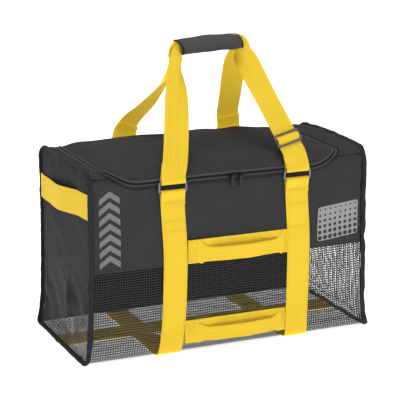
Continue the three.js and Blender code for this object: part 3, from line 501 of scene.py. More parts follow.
def marks_group():
    """Masks of the marks by Object coordinates: bent stripes, and a rounded box with round holes."""
    tree, given, made = new_group(
        "marks",
        [("Place", "NodeSocketVector", None)],
        [("Chevrons", "NodeSocketFloat"), ("Patch", "NodeSocketFloat")],
    )
    work = worker(tree)
    x, y, z = add_node(tree, "ShaderNodeSeparateXYZ", given.outputs["Place"]).outputs
    in_front = work("LESS_THAN", y, MARKS_FRONT)
    aside = work("ABSOLUTE", work("SUBTRACT", x, CHEVRON_MIDDLE))
    bent = work("MULTIPLY_ADD", aside, CHEVRON_SLOPE, z)
    stripe = work("FRACT", work("DIVIDE", bent, CHEVRON_PITCH))
    solid = work("LESS_THAN", stripe, CHEVRON_SOLID)
    near = work("LESS_THAN", aside, CHEVRON_HALF_WIDTH)
    boxed = work("MULTIPLY", near, between(work, bent, CHEVRON_LOW, CHEVRON_HIGH))
    chevrons = work("MULTIPLY", work("MULTIPLY", solid, boxed), in_front)
    tree.links.new(chevrons, made.inputs["Chevrons"])
    right = work("SUBTRACT", x, PATCH_MIDDLE[0])
    above = work("SUBTRACT", work("SUBTRACT", z, PATCH_MIDDLE[1]), work("MULTIPLY", right, PATCH_SHEAR))
    past = distance(work, past_edge(work, right, PATCH_HALF[0]), past_edge(work, above, PATCH_HALF[1]))
    body = work("LESS_THAN", past, PATCH_RADIUS)
    off = distance(work, in_cell(work, right), in_cell(work, above))
    size = work("MULTIPLY_ADD", work("DIVIDE", above, PATCH_HALF[1]), DOT_GROWTH, DOT_MIDDLE)
    dots = work("GREATER_THAN", off, size)
    patch = work("MULTIPLY", work("MULTIPLY", body, dots), in_front)
    tree.links.new(patch, made.inputs["Patch"])
    return tree


front_charcoal, marked_tree, marked_shader, marked_tone = charcoal_cloth("charcoal nylon with marks")
marks = add_node(marked_tree, "ShaderNodeGroup", node_tree=marks_group())
marked_tree.links.new(add_node(marked_tree, "ShaderNodeTexCoord").outputs["Object"], marks.inputs[0])
printed = marked_tone.outputs[2]
for mask, grey in (("Chevrons", PRINT_GREY), ("Patch", PATCH_GREY)):
    coat = add_node(marked_tree, "ShaderNodeMix", data_type="RGBA")
    marked_tree.links.new(marks.outputs[mask], coat.inputs["Factor"])
    marked_tree.links.new(printed, coat.inputs[6])
    coat.inputs[7].default_value = grey
    printed = coat.outputs[2]
marked_tree.links.new(printed, marked_shader.inputs["Base Color"])

LINING_BLACK = (0.003, 0.003, 0.003, 1)
lining, _, _ = new_material("black coating", LINING_BLACK, 0.9, Specular_IOR_Level=0.05)


def sew_in(panel, node, u, v, seams, keep=None):
    """A panel takes its dark coating inside and the CAD node it stands for. The flat size it was cut to is
    not used.
    """
    panel.data.materials.append(lining)
    panel.modifiers["thickness"].material_offset = 1
    put(panel, node)


def near_edge(value, low, high, reach):
    """0 at either edge of a panel, 1 from reach inwards."""
    return ease(np.minimum(value - low, high - value) / reach)


PRESSED_FLAT = 0.12


def inward(height):
    """The slack of a wall under straps, which press it flat: it falls in freely and hardly stands out."""
    return np.where(height > 0, height * PRESSED_FLAT, height)


CORNER_TURNS = np.linspace(1, 0, 25)
OVER_TOP = np.concatenate([
    np.linspace(corner_way(0, 0), WALL_RISE + TOP_ARC + TOP_RUN, 44)[1:],
    np.linspace(WALL_RISE + TOP_ARC + TOP_RUN, LID_BACK_WAY, 14)[1:],
])

LID_SLACK = 0.0022
LID_RIPPLE = 0.0012
LID_RIPPLE_RUN = 0.021
LID_TURNED_EDGE = 0.0016

lid_ways = np.concatenate([corner_way(CORNER_TURNS, 0), OVER_TOP])[:, None]
lid_across = np.linspace(0, 1, 150)[None, :]
lid_x = mix(lid_reach(lid_ways, -1, 0), lid_reach(lid_ways, 1, 0), lid_across)
lid_way = np.broadcast_to(lid_ways, lid_x.shape)
lid_inset = np.minimum(lid_x - lid_reach(lid_way, -1, 0), lid_reach(lid_way, 1, 0) - lid_x)
lid_inset = np.minimum(lid_inset, lid_way - lid_ways[0])
lid_ripple = np.sin(lid_x / LID_RIPPLE_RUN + 2 * np.sin(lid_way / 0.05)) * np.exp(-lid_inset / 0.03)
lid_height = LID_SLACK * ease(lid_inset / 0.03) * waves(lid_x, lid_way, 3, 0.05, 0.2)
lid_height += LID_RIPPLE * ease(lid_inset / 0.012) * lid_ripple
lid_height += LID_TURNED_EDGE * (1 - ease(lid_inset / 0.006))
lid = add_cloth("lid_cloth", skin(lid_x, lid_way), np.stack([lid_x, lid_way], -1), lid_height, charcoal)
sew_in(lid, "lid", lid_x, lid_way, ["zip", "back_cloth"])


EAR_COLUMNS = 26
FRONT_COLUMNS = 120
FRONT_SUNK = 0.0012
FRONT_SLACK = 0.0016
ZIP_PUCKER = 0.0011
ZIP_PUCKER_DROP = 0.014
RIM_GATHER = 0.0009


def front_panel():
    """The front wall above the net, with an ear beside each of the lid's corners up to the top's seam."""
    low = np.linspace(front_way(NET_LINE) + SEAM_GAP, corner_way(1, ZIP_WIDTH), 48)
    ears = corner_way(CORNER_TURNS[1:], ZIP_WIDTH)
    ears = np.append(ears[ears < SEAM_WAY - 0.001], SEAM_WAY)
    ways = np.concatenate([low, ears])[:, None]
    ear = np.linspace(0, 1, EAR_COLUMNS + 1)
    middle = np.linspace(0, 1, FRONT_COLUMNS + 1)
    left, right = lid_reach(ways, -1, ZIP_WIDTH), lid_reach(ways, 1, ZIP_WIDTH)
    x = np.hstack([mix(-WALL_END, left, ear[:-1]), mix(left, right, middle), mix(right, WALL_END, ear[1:])])
    way = np.broadcast_to(ways, x.shape)
    keep = np.ones((x.shape[0] - 1, x.shape[1] - 1), bool)
    keep[len(low) - 1:, EAR_COLUMNS:EAR_COLUMNS + FRONT_COLUMNS] = False
    return x, way, keep


front_x, front_w, front_keep = front_panel()
front_free = near_edge(front_x, -WALL_END, WALL_END, 0.03) * ease((front_w - front_way(NET_LINE)) / 0.02)
front_height = -FRONT_SUNK + FRONT_SLACK * front_free * waves(front_x, front_w, 11, 0.06, 0.24)
zip_drop = corner_way(1, ZIP_WIDTH) - front_w
below_zip = np.exp(-((zip_drop - ZIP_PUCKER_DROP) / ZIP_PUCKER_DROP) ** 2)
front_height += ZIP_PUCKER * below_zip * waves(front_x, front_w, 12, 0.018, 0.05)
rim_gather = np.exp(-(WALL_END - np.abs(front_x)) / 0.012)
front_height += RIM_GATHER * rim_gather * np.sin(front_w / 0.0045 + 1.7 * np.sin(front_w / 0.02))
front_cloth = add_cloth(
    "front_panel", skin(front_x, front_w), np.stack([front_x, front_w], -1), inward(front_height),
    front_charcoal, keep=front_keep,
)
front_seams = ["zip", "left_end_binding", "right_end_binding"]
sew_in(front_cloth, "front_cloth", front_x, front_w, front_seams, front_keep)

TOP_SLACK = 0.0024
TOP_GATHER = 0.0018

for word, side in (("left", -1), ("right", 1)):
    turns = corner_way(CORNER_TURNS, ZIP_WIDTH)
    ways = np.concatenate([[SEAM_WAY], turns[turns > SEAM_WAY + 0.001], OVER_TOP])[:, None]
    share = np.linspace(0, 1, 22)[None, :]
    x = mix(lid_reach(ways, side, ZIP_WIDTH), side * WALL_END, share)
    way = np.broadcast_to(ways, x.shape)
    gathers = np.sin(way / 0.0062 + 2.2 * np.sin(way / 0.031)) * np.sin(np.pi * share) ** 0.5
    height = TOP_SLACK * np.sin(np.pi * share) * waves(x, way, 21 + side, 0.03, 0.09)
    height = height + TOP_GATHER * share**2 * gathers
    strip = add_cloth(f"top_{word}_strip", skin(x, way), np.stack([x, way], -1), height, charcoal)
    sew_in(strip, f"top_{word}_cloth", x, way, ["zip", f"{word}_end_binding"])

BACK_SUNK = 0.001
BACK_SLACK = 0.0019

back_ways = np.linspace(LID_BACK_WAY + SEAM_GAP, BACK_FOOT + BASE_ARC - SEAM_GAP, 90)[:, None]
back_x = np.linspace(-WALL_END, WALL_END, 130)[None, :]
back_x, back_w = np.broadcast_arrays(back_x, back_ways)
back_free = near_edge(back_x, -WALL_END, WALL_END, 0.04)
back_free = back_free * near_edge(back_w, LID_BACK_WAY, BACK_FOOT + BASE_ARC, 0.04)
back_height = inward(-BACK_SUNK + BACK_SLACK * back_free * waves(back_x, back_w, 31, 0.07, 0.28))
back = add_cloth("back_panel", skin(back_x, back_w), np.stack([back_x, back_w], -1), back_height, charcoal)
sew_in(back, "back_cloth", back_x, back_w, ["left_end_binding", "right_end_binding"])

# The two ends. Each is one flat panel inside its bound seam, cloth above and net below. The cloth puckers
# under the top of the rim, and hangs a little loose round the handle.
END_INSET = 0.0022
END_SUNK = 0.0008
END_SLACK = 0.0026
END_PUCKER = 0.0028
SHOULDER = FLAT_TOP - TOP_RADIUS


def end_half_depth(z):
    """Half the end panel's depth at a height, with circular corners at the top and the foot."""
    over, under = np.maximum(0, z - SHOULDER), np.maximum(0, FOOT - z)
    top = TOP_RADIUS - np.sqrt(np.maximum(0, (TOP_RADIUS - END_INSET) ** 2 - over**2))
    foot = BASE_RADIUS - np.sqrt(np.maximum(0, (BASE_RADIUS - END_INSET) ** 2 - under**2))
    return HALF_DEPTH - np.where(z > SHOULDER, top, np.where(z < FOOT, foot, END_INSET))


def end_net_line(y):
    return NET_LINE - END_NET_FALL * ease((y + HALF_DEPTH) / BODY_DEPTH)


for word, side in (("left", -1), ("right", 1)):
    levels = np.concatenate([
        np.linspace(0, 1, 44) * (SHOULDER - NET_LINE) + NET_LINE,
        SHOULDER + (TOP_RADIUS - END_INSET) * np.sin(np.linspace(0, math.pi / 2, 12)[1:]),
    ])[:, None]
    y = np.linspace(-1, 1, 70)[None, :] * end_half_depth(levels)
    low = end_net_line(y)
    share = (levels - NET_LINE) / (SHOULDER - NET_LINE)
    z = np.where(levels <= SHOULDER, low + share * (SHOULDER - low), levels)
    free = near_edge(y, -HALF_DEPTH, HALF_DEPTH, 0.03) * ease((z - low) / 0.02) * ease((FLAT_TOP - z) / 0.012)
    height = -END_SUNK + END_SLACK * free * waves(y, z, 41 + side, 0.05, 0.2)
    pucker = np.exp(-(FLAT_TOP - z) / 0.03) * ease((FLAT_TOP - z) / 0.008)
    height += END_PUCKER * pucker * np.sin(y / 0.0052 + 1.6 * np.sin(y / 0.02) + side)
    points = settle(side * HALF_LENGTH, y, z)
    panel = add_cloth(f"{word}_end_panel", points, np.stack([y, z], -1), height, charcoal)
    sew_in(panel, f"{word}_end_cloth", *np.broadcast_arrays(y, z), [f"{word}_end_binding"])

# Net. Coated polyester threads knitted square and left open, on the lower front, the base and the ends.
# Each strand is real: a grid with every second cell left out in both directions, then given thickness.
MESH_RISE = 0.0052
MESH_RUN = 0.005
STRAND_TALL = 0.0017
STRAND_WIDE = 0.0013
STRAND_THICK = 0.0005
NET_LAP = 0.003
NET_SWAY = 0.0016
NET_SUNK = 0.0012
NET_SLACK = 0.0022
NET_GREY_DARK = (0.02, 0.02, 0.021, 1)
NET_GREY_LIGHT = (0.045, 0.045, 0.048, 1)

net_finish, _, _, _ = woven(
    "coated net", NET_GREY_DARK, NET_GREY_LIGHT, 0.5, 0.0009, 0.0012, 0.0002, 40, Specular_IOR_Level=0.15,
)


def strand_lines(start, end, pitch, strand):
    """Both edges of every strand from start to end, evenly spaced at about the pitch."""
    count = max(1, round((end - start - strand) / pitch))
    first = start + np.arange(count + 1) * (end - start - strand) / count
    return np.stack([first, first + strand], axis=1).ravel()


def net_keep(rows, columns):
    """All cells of the grid but those between two strands both ways."""
    return ~((np.arange(rows - 1)[:, None] % 2 == 1) & (np.arange(columns - 1)[None, :] % 2 == 1))


def add_net(name, points, uv, height, node, thick=STRAND_THICK):
    net = add_cloth(name, points, uv, height, net_finish, thick, net_keep(*points.shape[:2]))
    put(net, node)


net_w = strand_lines(-BASE_ARC + SEAM_GAP, front_way(NET_LINE) + NET_LAP, MESH_RISE, STRAND_TALL)[:, None]
net_x = strand_lines(-WALL_END, WALL_END, MESH_RUN, STRAND_WIDE)[None, :]
net_x, net_w = np.broadcast_arrays(net_x, net_w)
net_free = near_edge(net_w, 0, front_way(NET_LINE), 0.03)
sway = NET_SWAY * net_free * waves(net_x, net_w, 51, 0.05, 0.2)
net_height = inward(-NET_SUNK + NET_SLACK * net_free * waves(net_x, net_w, 52, 0.06, 0.2))
add_net("front_net_mesh", skin(net_x, net_w + sway), np.stack([net_x, net_w], -1), net_height, "front_net")

BASE_MESH_RISE = 0.0056
BASE_STRAND = 0.0014
BASE_STRAND_THICK = 0.0004
BASE_NET_LIFT = 0.0006

base_start = BACK_FOOT + BASE_ARC + SEAM_GAP
base_end = base_start + BASE_RUN - 2 * SEAM_GAP
base_w = strand_lines(base_start, base_end, BASE_MESH_RISE, BASE_STRAND)[:, None]
base_x = strand_lines(-WALL_END, WALL_END, MESH_RUN, STRAND_WIDE)[None, :]
base_x, base_w = np.broadcast_arrays(base_x, base_w)
base_points = skin(base_x, base_w)
base_points[..., 2] += BASE_NET_LIFT
base_flat = np.stack([base_x, base_w], -1)
add_net("base_net_mesh", base_points, base_flat, np.zeros(base_x.shape), "base_net", BASE_STRAND_THICK)

END_NET_SWAY = 0.002
END_NET_SUNK = 0.001
END_NET_SLACK = 0.003
END_NET_FOLD = 0.0035

for word, side in (("left", -1), ("right", 1)):
    levels = strand_lines(BASE_HEIGHT + END_INSET, NET_LINE + NET_LAP, MESH_RISE, STRAND_TALL)[:, None]
    across = strand_lines(-1, 1, MESH_RUN / HALF_DEPTH, STRAND_WIDE / HALF_DEPTH)[None, :]
    y = across * end_half_depth(levels)
    share = np.clip((levels - FOOT) / (NET_LINE - FOOT), 0, 1)
    z = levels - share * (NET_LINE - end_net_line(y))
    free = near_edge(y, -HALF_DEPTH, HALF_DEPTH, 0.03) * np.sin(np.pi * share)
    z = z + END_NET_SWAY * free * waves(y, z, 71 + side, 0.05, 0.16)
    height = -END_NET_SUNK + END_NET_SLACK * free * waves(y, z, 73 + side, 0.05, 0.16)
    height += END_NET_FOLD * free * np.exp(-((y + 0.025) / 0.012) ** 2)
    points = settle(side * HALF_LENGTH, y, z)
    add_net(f"{word}_end_net_mesh", points, np.stack([y, z], -1), height, f"{word}_end_net")

# Bound end seams. Black grosgrain tape is folded over the raw edges all round each end and sewn through,
# so it stands as a soft rounded rim that wanders a little and is pulled in by its stitches.
TAPE_BLACK_DARK = (0.008, 0.008, 0.009, 1)
TAPE_BLACK_LIGHT = (0.022, 0.022, 0.023, 1)
BINDING_THICKNESS = 0.0052
TAPE_WANDER = 0.0011
TAPE_SWELL = 0.14
TAPE_SQUARE = 0.7
TAPE_CLEAR = 0.0006
TAPE_STATIONS = 520
TINY_LIFT = 0.001

tape_finish, _, _, _ = woven(
    "black tape", TAPE_BLACK_DARK, TAPE_BLACK_LIGHT, 0.7, 0.0022, 0.0013, 0.0004, 30, Specular_IOR_Level=0.2,
)


def squared(wave, power):
    """A sine or cosine pushed out towards the corners of its square, by a power below 1."""
    return np.sign(wave) * np.abs(wave) ** power


def closed_quads(rows, columns, first=0, open_rows=False):
    """Corner numbers of the quads of a grid closed round its columns, and its rows unless they are open."""
    numbers = first + np.arange(rows * columns).reshape(rows, columns)
    below = numbers[1:] if open_rows else np.roll(numbers, -1, axis=0)
    above = numbers[:-1] if open_rows else numbers
    quads = np.stack([above, np.roll(above, -1, axis=1), np.roll(below, -1, axis=1), below], -1)
    return quads.reshape(-1, 4)


for word, side in (("left", -1), ("right", 1)):
    ways = np.linspace(0, GIRTH, TAPE_STATIONS, endpoint=False)[:, None]
    around = np.linspace(0, 2 * math.pi, 18)[None, :]
    wobble = TAPE_WANDER * waves(ways, 0 * ways, 81 + side, 0.03, 0.12)
    swell = 1 + TAPE_SWELL * waves(ways, 0 * ways, 83 + side, 0.012, 0.04)
    x = side * HALF_LENGTH + wobble + squared(np.cos(around), TAPE_SQUARE) * BINDING_WIDTH / 2 * swell
    lift = np.sin(around) * BINDING_THICKNESS / 2 * swell
    y, z = girth(np.broadcast_to(ways, x.shape), 0)
    beyond_y, beyond_z = girth(np.broadcast_to(ways, x.shape), TINY_LIFT)
    y = y + (beyond_y - y) * lift / TINY_LIFT
    z = z + (beyond_z - z) * lift / TINY_LIFT
    points = settle(x, y, np.maximum(z, TAPE_CLEAR))[:, :-1]
    quads = closed_quads(*points.shape[:2])
    uv = np.stack(np.broadcast_arrays(ways, around[:, :-1] * 0.0026), -1)
    binding = add_piece(f"{word}_rim_tape", points, quads[:, ::-1], uv, tape_finish)
    put(binding, f"{word}_end_binding")

# Webbing. Heavy yellow nylon, 51 mm wide and 2 mm thick, with a herringbone weave and rounded selvedges.
# It can be folded lengthwise about a crease, as on the handles and where the carry loops gather.
WEBBING_WIDTH = 0.051
WEBBING = 0.002
GAP = 0.0004
WEBBING_LAY = GAP + WEBBING / 2
YELLOW_SHADE = (0.66, 0.42, 0.022, 1)
YELLOW_LIGHT = (0.88, 0.61, 0.036, 1)
THREAD_YELLOW = (0.6, 0.4, 0.015, 1)
RIB_PITCH = 0.0023
BONE_WIDTH = 0.0085
CREASE_BEND = 0.0055
# Strengths of a painted glow (emission) on the webbing: where it lies under the base, below LYING_HEIGHT, and
# where it stands free.
PAINTED_GLOW_UNDER_BASE = 0.4
LYING_HEIGHT = 0.008
PAINTED_GLOW_STANDING_FREE = 0.3


def herringbone_group():
    """Slanting ribs that change their slant at every bone's width, with a groove at each turn."""
    tree, given, made = new_group(
        "herringbone",
        [
            ("Place", "NodeSocketVector", None),
            ("Rib pitch", "NodeSocketFloat", RIB_PITCH),
            ("Bone width", "NodeSocketFloat", BONE_WIDTH),
        ],
        [("Height", "NodeSocketFloat"), ("Groove", "NodeSocketFloat")],
    )
    apart = add_node(tree, "ShaderNodeSeparateXYZ", given.outputs["Place"])
    bone = math_node(tree, "PINGPONG", apart.outputs[0], given.outputs["Bone width"])
    slanted = math_node(tree, "MULTIPLY_ADD", bone, 0.8, apart.outputs[1])
    rib = math_node(tree, "DIVIDE", slanted, given.outputs["Rib pitch"])
    height = math_node(tree, "SINE", math_node(tree, "MULTIPLY", rib, 2 * math.pi))
    bone_share = math_node(tree, "DIVIDE", bone, given.outputs["Bone width"])
    groove = math_node(tree, "SINE", math_node(tree, "MULTIPLY", bone_share, math.pi))
    tree.links.new(height, made.inputs["Height"])
    tree.links.new(math_node(tree, "POWER", groove, 0.3), made.inputs["Groove"])
    return tree


def webbing_material(name, shade, light, free_glow):
    """
    Webbing: the herringbone gives relief and a faint painted shade, darker in the troughs of its ribs and in
    the groove at each turn, and the mottle a faint wear. A painted glow (emission in its light colour) lights
    it where it lies under the base, and by free_glow where it stands free.
    """
    material, tree, shader = new_material(name, light, 0.7, Specular_IOR_Level=0.15)
    place = add_node(tree, "ShaderNodeTexCoord")
    bone = add_node(tree, "ShaderNodeGroup", node_tree=HERRINGBONE)
    tree.links.new(place.outputs["UV"], bone.inputs["Place"])
    mottle = add_node(tree, "ShaderNodeGroup", node_tree=MOTTLE)
    tree.links.new(place.outputs["Object"], mottle.inputs["Place"])
    mottle.inputs["Scale"].default_value = 16
    # Painted shade: the colour darkens in the troughs of the ribs and in the groove at each turn of the
    # bones, and the mottle adds real wear.
    ribs = math_node(tree, "MULTIPLY_ADD", bone.outputs["Height"], 0.16, 0.5)
    groove_shade = math_node(tree, "MULTIPLY", bone.outputs["Groove"], 0.25)
    wear_and_groove_shade = math_node(tree, "MULTIPLY_ADD", mottle.outputs[0], 0.5, groove_shade)
    tone = add_node(tree, "ShaderNodeMix", data_type="RGBA")
    share = math_node(tree, "ADD", math_node(tree, "MULTIPLY", ribs, 0.6), wear_and_groove_shade)
    tree.links.new(share, tone.inputs["Factor"])
    tone.inputs[6].default_value = shade
    tone.inputs[7].default_value = light
    tree.links.new(tone.outputs[2], shader.inputs["Base Color"])
    bump = add_node(tree, "ShaderNodeBump")
    bump.inputs["Strength"].default_value = 0.6
    bump.inputs["Distance"].default_value = 0.0004
    relief = math_node(tree, "ADD", bone.outputs["Height"], bone.outputs["Groove"])
    tree.links.new(relief, bump.inputs["Height"])
    tree.links.new(bump.outputs[0], shader.inputs["Normal"])
    # Painted glow: emission in the webbing's light colour, stronger where it lies under the base.
    shader.inputs["Emission Color"].default_value = light
    height = add_node(tree, "ShaderNodeSeparateXYZ", place.outputs["Object"]).outputs[2]
    lying = math_node(tree, "LESS_THAN", height, LYING_HEIGHT)
    painted_glow = math_node(tree, "MULTIPLY_ADD", lying, PAINTED_GLOW_UNDER_BASE, free_glow)
    tree.links.new(painted_glow, shader.inputs["Emission Strength"])
    return material


HERRINGBONE = herringbone_group()
# Both webbing finishes glow with painted light where they lie under the base; the second also glows where it
# stands free.
webbing_finish = webbing_material("yellow webbing", YELLOW_SHADE, YELLOW_LIGHT, 0)
glowing_webbing = webbing_material("yellow webbing with painted glow", YELLOW_SHADE, YELLOW_LIGHT, PAINTED_GLOW_STANDING_FREE)
thread_finish, _, _ = new_material("yellow thread", THREAD_YELLOW, 0.55)


def unit(vectors):
    return vectors / np.maximum(np.linalg.norm(vectors, axis=-1, keepdims=True), 1e-12)


def curve_through(values, stations, places):
    """A Catmull-Rom curve through rows of values given at stations, read at other places between them."""
    values = np.asarray(values, float)
    if values.ndim == 1:
        return curve_through(values[:, None], stations, places)[:, 0]
    slopes = np.gradient(values, stations, axis=0)
    at = np.clip(np.searchsorted(stations, places, side="right") - 1, 0, len(stations) - 2)
    span = (stations[at + 1] - stations[at])[:, None]
    t = (places[:, None] - stations[at][:, None]) / span
    start, end = values[at], values[at + 1]
    return (
        (2 * t**3 - 3 * t**2 + 1) * start + (t**3 - 2 * t**2 + t) * span * slopes[at]
        + (3 * t**2 - 2 * t**3) * end + (t**3 - t**2) * span * slopes[at + 1]
    )


def way_along(points):
    """The distance along a list of points, from its first."""
    return np.concatenate([[0], np.cumsum(np.linalg.norm(np.diff(points, axis=0), axis=1))])


def strip_columns(width, thickness):
    """Places across a strip, close together where its selvedges round off."""
    half, bend = width / 2, thickness / 2
    rounded = half - bend * (1 - np.sin(np.linspace(0, math.pi / 2, 4)))
    flat = np.linspace(-(half - bend), half - bend, 29)[1:-1]
    return np.concatenate([-rounded[::-1], flat, rounded])


def folded_section(width, crease, turn, columns):
    """
    The middle line across a strip and its heading, where the part past the crease is turned over by an angle.
    Crease and turn are one value for each station along the strip.
    """
    share = ease((columns[None, :] - crease[:, None] + CREASE_BEND / 2) / CREASE_BEND)
    heading = turn[:, None] * share
    step = np.diff(columns)[None, :]
    middle = (heading[:, 1:] + heading[:, :-1]) / 2
    start = np.zeros((len(turn), 1))
    a = np.hstack([start, np.cumsum(np.cos(middle) * step, axis=1)])
    b = np.hstack([start, np.cumsum(np.sin(middle) * step, axis=1)])
    return a - (a.max(axis=1) + a.min(axis=1))[:, None] / 2, b, heading


def add_strip(name, centre, across, out, material, crease=None, turn=None, offset=None, width=WEBBING_WIDTH):
    """
    A length of webbing swept along its middle line. Each station has the directions across it and out of its
    face. Its section has rounded selvedges and may be folded, and offset moves it across and out.
    """
    count = len(centre)
    columns = strip_columns(width, WEBBING)
    crease = np.full(count, width / 2) if crease is None else crease
    turn = np.zeros(count) if turn is None else turn
    offset = np.zeros((count, 2)) if offset is None else offset
    a, b, heading = folded_section(width, crease, turn, columns)
    past_flat = np.maximum(0, np.abs(columns) - (width - WEBBING) / 2) / (WEBBING / 2)
    half = WEBBING / 2 * np.sqrt(np.maximum(0, 1 - past_flat**2))
    ends = np.ones(count)
    ends[[0, -1]] = 0
    sides = []
    for face, part in ((1, slice(None)), (-1, slice(-2, 0, -1))):
        rise = (face * half[None, :] * ends[:, None])[:, part]
        side_a = a[:, part] - np.sin(heading[:, part]) * rise + offset[:, :1]
        side_b = b[:, part] + np.cos(heading[:, part]) * rise + offset[:, 1:]
        sides.append(centre[:, None] + side_a[..., None] * across[:, None] + side_b[..., None] * out[:, None])
    points = np.concatenate(sides, axis=1)
    numbers = np.arange(points.shape[0] * points.shape[1]).reshape(points.shape[:2])
    beside = np.roll(numbers, -1, axis=1)
    quads = np.stack([numbers[:-1], numbers[1:], beside[1:], beside[:-1]], -1).reshape(-1, 4)
    handed = np.sum(np.cross(across, out) * np.gradient(centre, axis=0)) > 0
    u = np.concatenate([columns, columns[-2:0:-1]])
    uv = np.stack(np.broadcast_arrays(u[None, :], way_along(centre)[:, None]), -1)
    return add_piece(name, points, quads if handed else quads[:, ::-1], uv, material)


def frames_along(points, across):
    """Unit directions across a strip, square to its run, and out of its face."""
    along = unit(np.gradient(points, axis=0))
    across = unit(across - along * np.sum(across * along, axis=1, keepdims=True))
    return across, np.cross(along, across)


STITCH_PITCH = 0.0042
STITCH_LENGTH = 0.0031
STITCH_RADIUS = 0.00042


def add_stitches(name, starts, ends, outs, material, radius=STITCH_RADIUS):
    """Short rounded threads, one from each start to its end, each lying half in the face below it."""
    rings = np.array([[0, 0.35], [0.2, 1], [0.5, 1.15], [0.8, 1], [1, 0.35]])
    turns = np.linspace(0, 2 * math.pi, 6, endpoint=False)
    along = unit(ends - starts)
    aside = np.cross(along, outs)
    spots = starts[:, None, None] + (ends - starts)[:, None, None] * rings[None, :, :1, None]
    spread = radius * rings[None, :, 1, None, None]
    turns = turns[None, None, :, None]
    points = spots + spread * (np.cos(turns) * aside[:, None, None] + np.sin(turns) * outs[:, None, None])
    count, levels, sides = points.shape[:3]
    numbers = np.arange(count * levels * sides).reshape(count, levels, sides)
    beside = np.roll(numbers, -1, axis=2)
    quads = np.stack([numbers[:, :-1], numbers[:, 1:], beside[:, 1:], beside[:, :-1]], -1).reshape(-1, 4)
    uv = np.zeros((count * levels * sides, 2))
    return add_piece(name, points, quads, uv, material)


def stitch_lines(surface, lines, lift):
    """Starts, ends and outward directions of the stitches along straight lines drawn on a surface."""
    starts, ends, outs = [], [], []
    for (u0, v0), (u1, v1) in lines:
        length = math.hypot(u1 - u0, v1 - v0)
        count = max(1, int(length / STITCH_PITCH))
        first = np.arange(count) / count
        last = first + STITCH_LENGTH / STITCH_PITCH / count
        for share, kept in ((first, starts), (last, ends)):
            kept.append(surface(mix(u0, u1, share), mix(v0, v1, share), lift))
        middle = (first + last) / 2
        u, v = mix(u0, u1, middle), mix(v0, v1, middle)
        outs.append(unit(surface(u, v, lift + 0.001) - surface(u, v, lift)))
    return np.concatenate(starts), np.concatenate(ends), np.concatenate(outs)


# The two body straps. Each runs up the front and the back and passes under the base over the lengthwise
# band. Both its ends fold round the lower bar of a ring and are sewn down again as a short flap.
STRAP_LEFT = -0.1325
STRAP_RIGHT = 0.1395
STRAP_SWAY = 0.008
STRAP_LEFT_SHIFT = 0.02
STRAP_RIGHT_SHIFT = -0.008
STRAP_FLAP = 0.026
STRAP_SEAM = 0.01
STRAP_LANDING = 0.012
BAND_STEP_START = 0.022
BAND_STEP_END = 0.004
BASE_BAND_WIDTH = 0.062
BASE_BAND_AT = 0.017
RING_WINDOW_WIDTH = 0.0524
RING_WINDOW_HEIGHT = 0.016
RING_BAR = 0.0042
RING_THICKNESS = 0.0032
FRONT_RING_HEIGHT = 0.35
BACK_RING_HEIGHT = 0.373
BAR_CENTRES = RING_WINDOW_HEIGHT + RING_BAR
FOLD_RADIUS = RING_BAR / 2 + 2 * GAP + WEBBING / 2
RING_LIFT = WEBBING_LAY + FOLD_RADIUS


def strap_middle(centre, y, z):
    """A strap's middle. It sways to the right on the front, and drifts inwards as it climbs the back."""
    front_share = ease(0.5 - y / BODY_DEPTH)
    sway = STRAP_SWAY * front_share * np.sin(np.pi * np.clip(z / FRONT_RING_HEIGHT, 0, 1))
    shift = STRAP_LEFT_SHIFT if centre < 0 else STRAP_RIGHT_SHIFT
    return centre + sway + shift * ease(y / HALF_DEPTH) * ease(z / SHOULDER_HEIGHT)


def folded_end(face, bar_height):
    """y and z from a strap's sewn flap round the bar to the wall, on the front (-1) or the back (1)."""
    flap = face * (HALF_DEPTH + WEBBING_LAY + WEBBING + GAP)
    turn = np.linspace(math.radians(-40), math.pi, 9)
    fold = np.stack([
        face * (HALF_DEPTH + RING_LIFT + FOLD_RADIUS * np.cos(turn)),
        bar_height + FOLD_RADIUS * np.sin(turn),
    ], axis=1)
    sewn = [[flap, bar_height - STRAP_FLAP], [flap, bar_height - STRAP_FLAP + STRAP_SEAM]]
    return np.concatenate([sewn, fold])


def strap_route():
    """y and z of a strap from its back flap down, under the base and up the front to its other flap."""
    front_bar = FRONT_RING_HEIGHT - BAR_CENTRES / 2
    back_bar = BACK_RING_HEIGHT - BAR_CENTRES / 2
    lay = HALF_DEPTH + WEBBING_LAY
    back_line = [(lay, z) for z in np.linspace(back_bar - STRAP_LANDING, FOOT, 9)]
    front_line = [(-lay, z) for z in np.linspace(FOOT, front_bar - STRAP_LANDING, 9)]
    back_corner = np.stack(girth(np.linspace(BACK_FOOT, BACK_FOOT + BASE_ARC, 5)[1:], WEBBING_LAY), axis=1)
    front_corner = np.stack(girth(np.linspace(GIRTH - BASE_ARC, GIRTH, 5)[:-1] - 1e-9, WEBBING_LAY), axis=1)
    level = BASE_HEIGHT - WEBBING_LAY
    deep = level - GAP - WEBBING
    edges = [BASE_BAND_AT + BASE_BAND_WIDTH / 2, BASE_BAND_AT - BASE_BAND_WIDTH / 2]
    under = [
        (edges[0] + BAND_STEP_START, level), (edges[0] + BAND_STEP_END, deep),
        (edges[1] - BAND_STEP_END, deep), (edges[1] - BAND_STEP_START, level),
    ]
    back_end, front_end = folded_end(1, back_bar), folded_end(-1, front_bar)[::-1]
    return np.concatenate([back_end, back_line, back_corner, under, front_corner, front_line, front_end])


def strap_face(centre_line):
    """The front of a strap as a surface: from a place across it and a height to a point at a lift."""
    def face(u, z, lift):
        y = np.full_like(z, -HALF_DEPTH - WEBBING_LAY - WEBBING / 2 - lift)
        at = settle(strap_middle(centre_line, y, z), y, z)
        return at + np.stack([u, 0 * u, 0 * u], -1)
    return face


STRAP_STATIONS = 300
FLAP_TOP = FRONT_RING_HEIGHT - BAR_CENTRES / 2 - 0.006

STITCH_INSET = 0.0035
STRAPS = {"left": (STRAP_LEFT, (0.283, 0.262)), "right": (STRAP_RIGHT, (0.291, 0.243))}

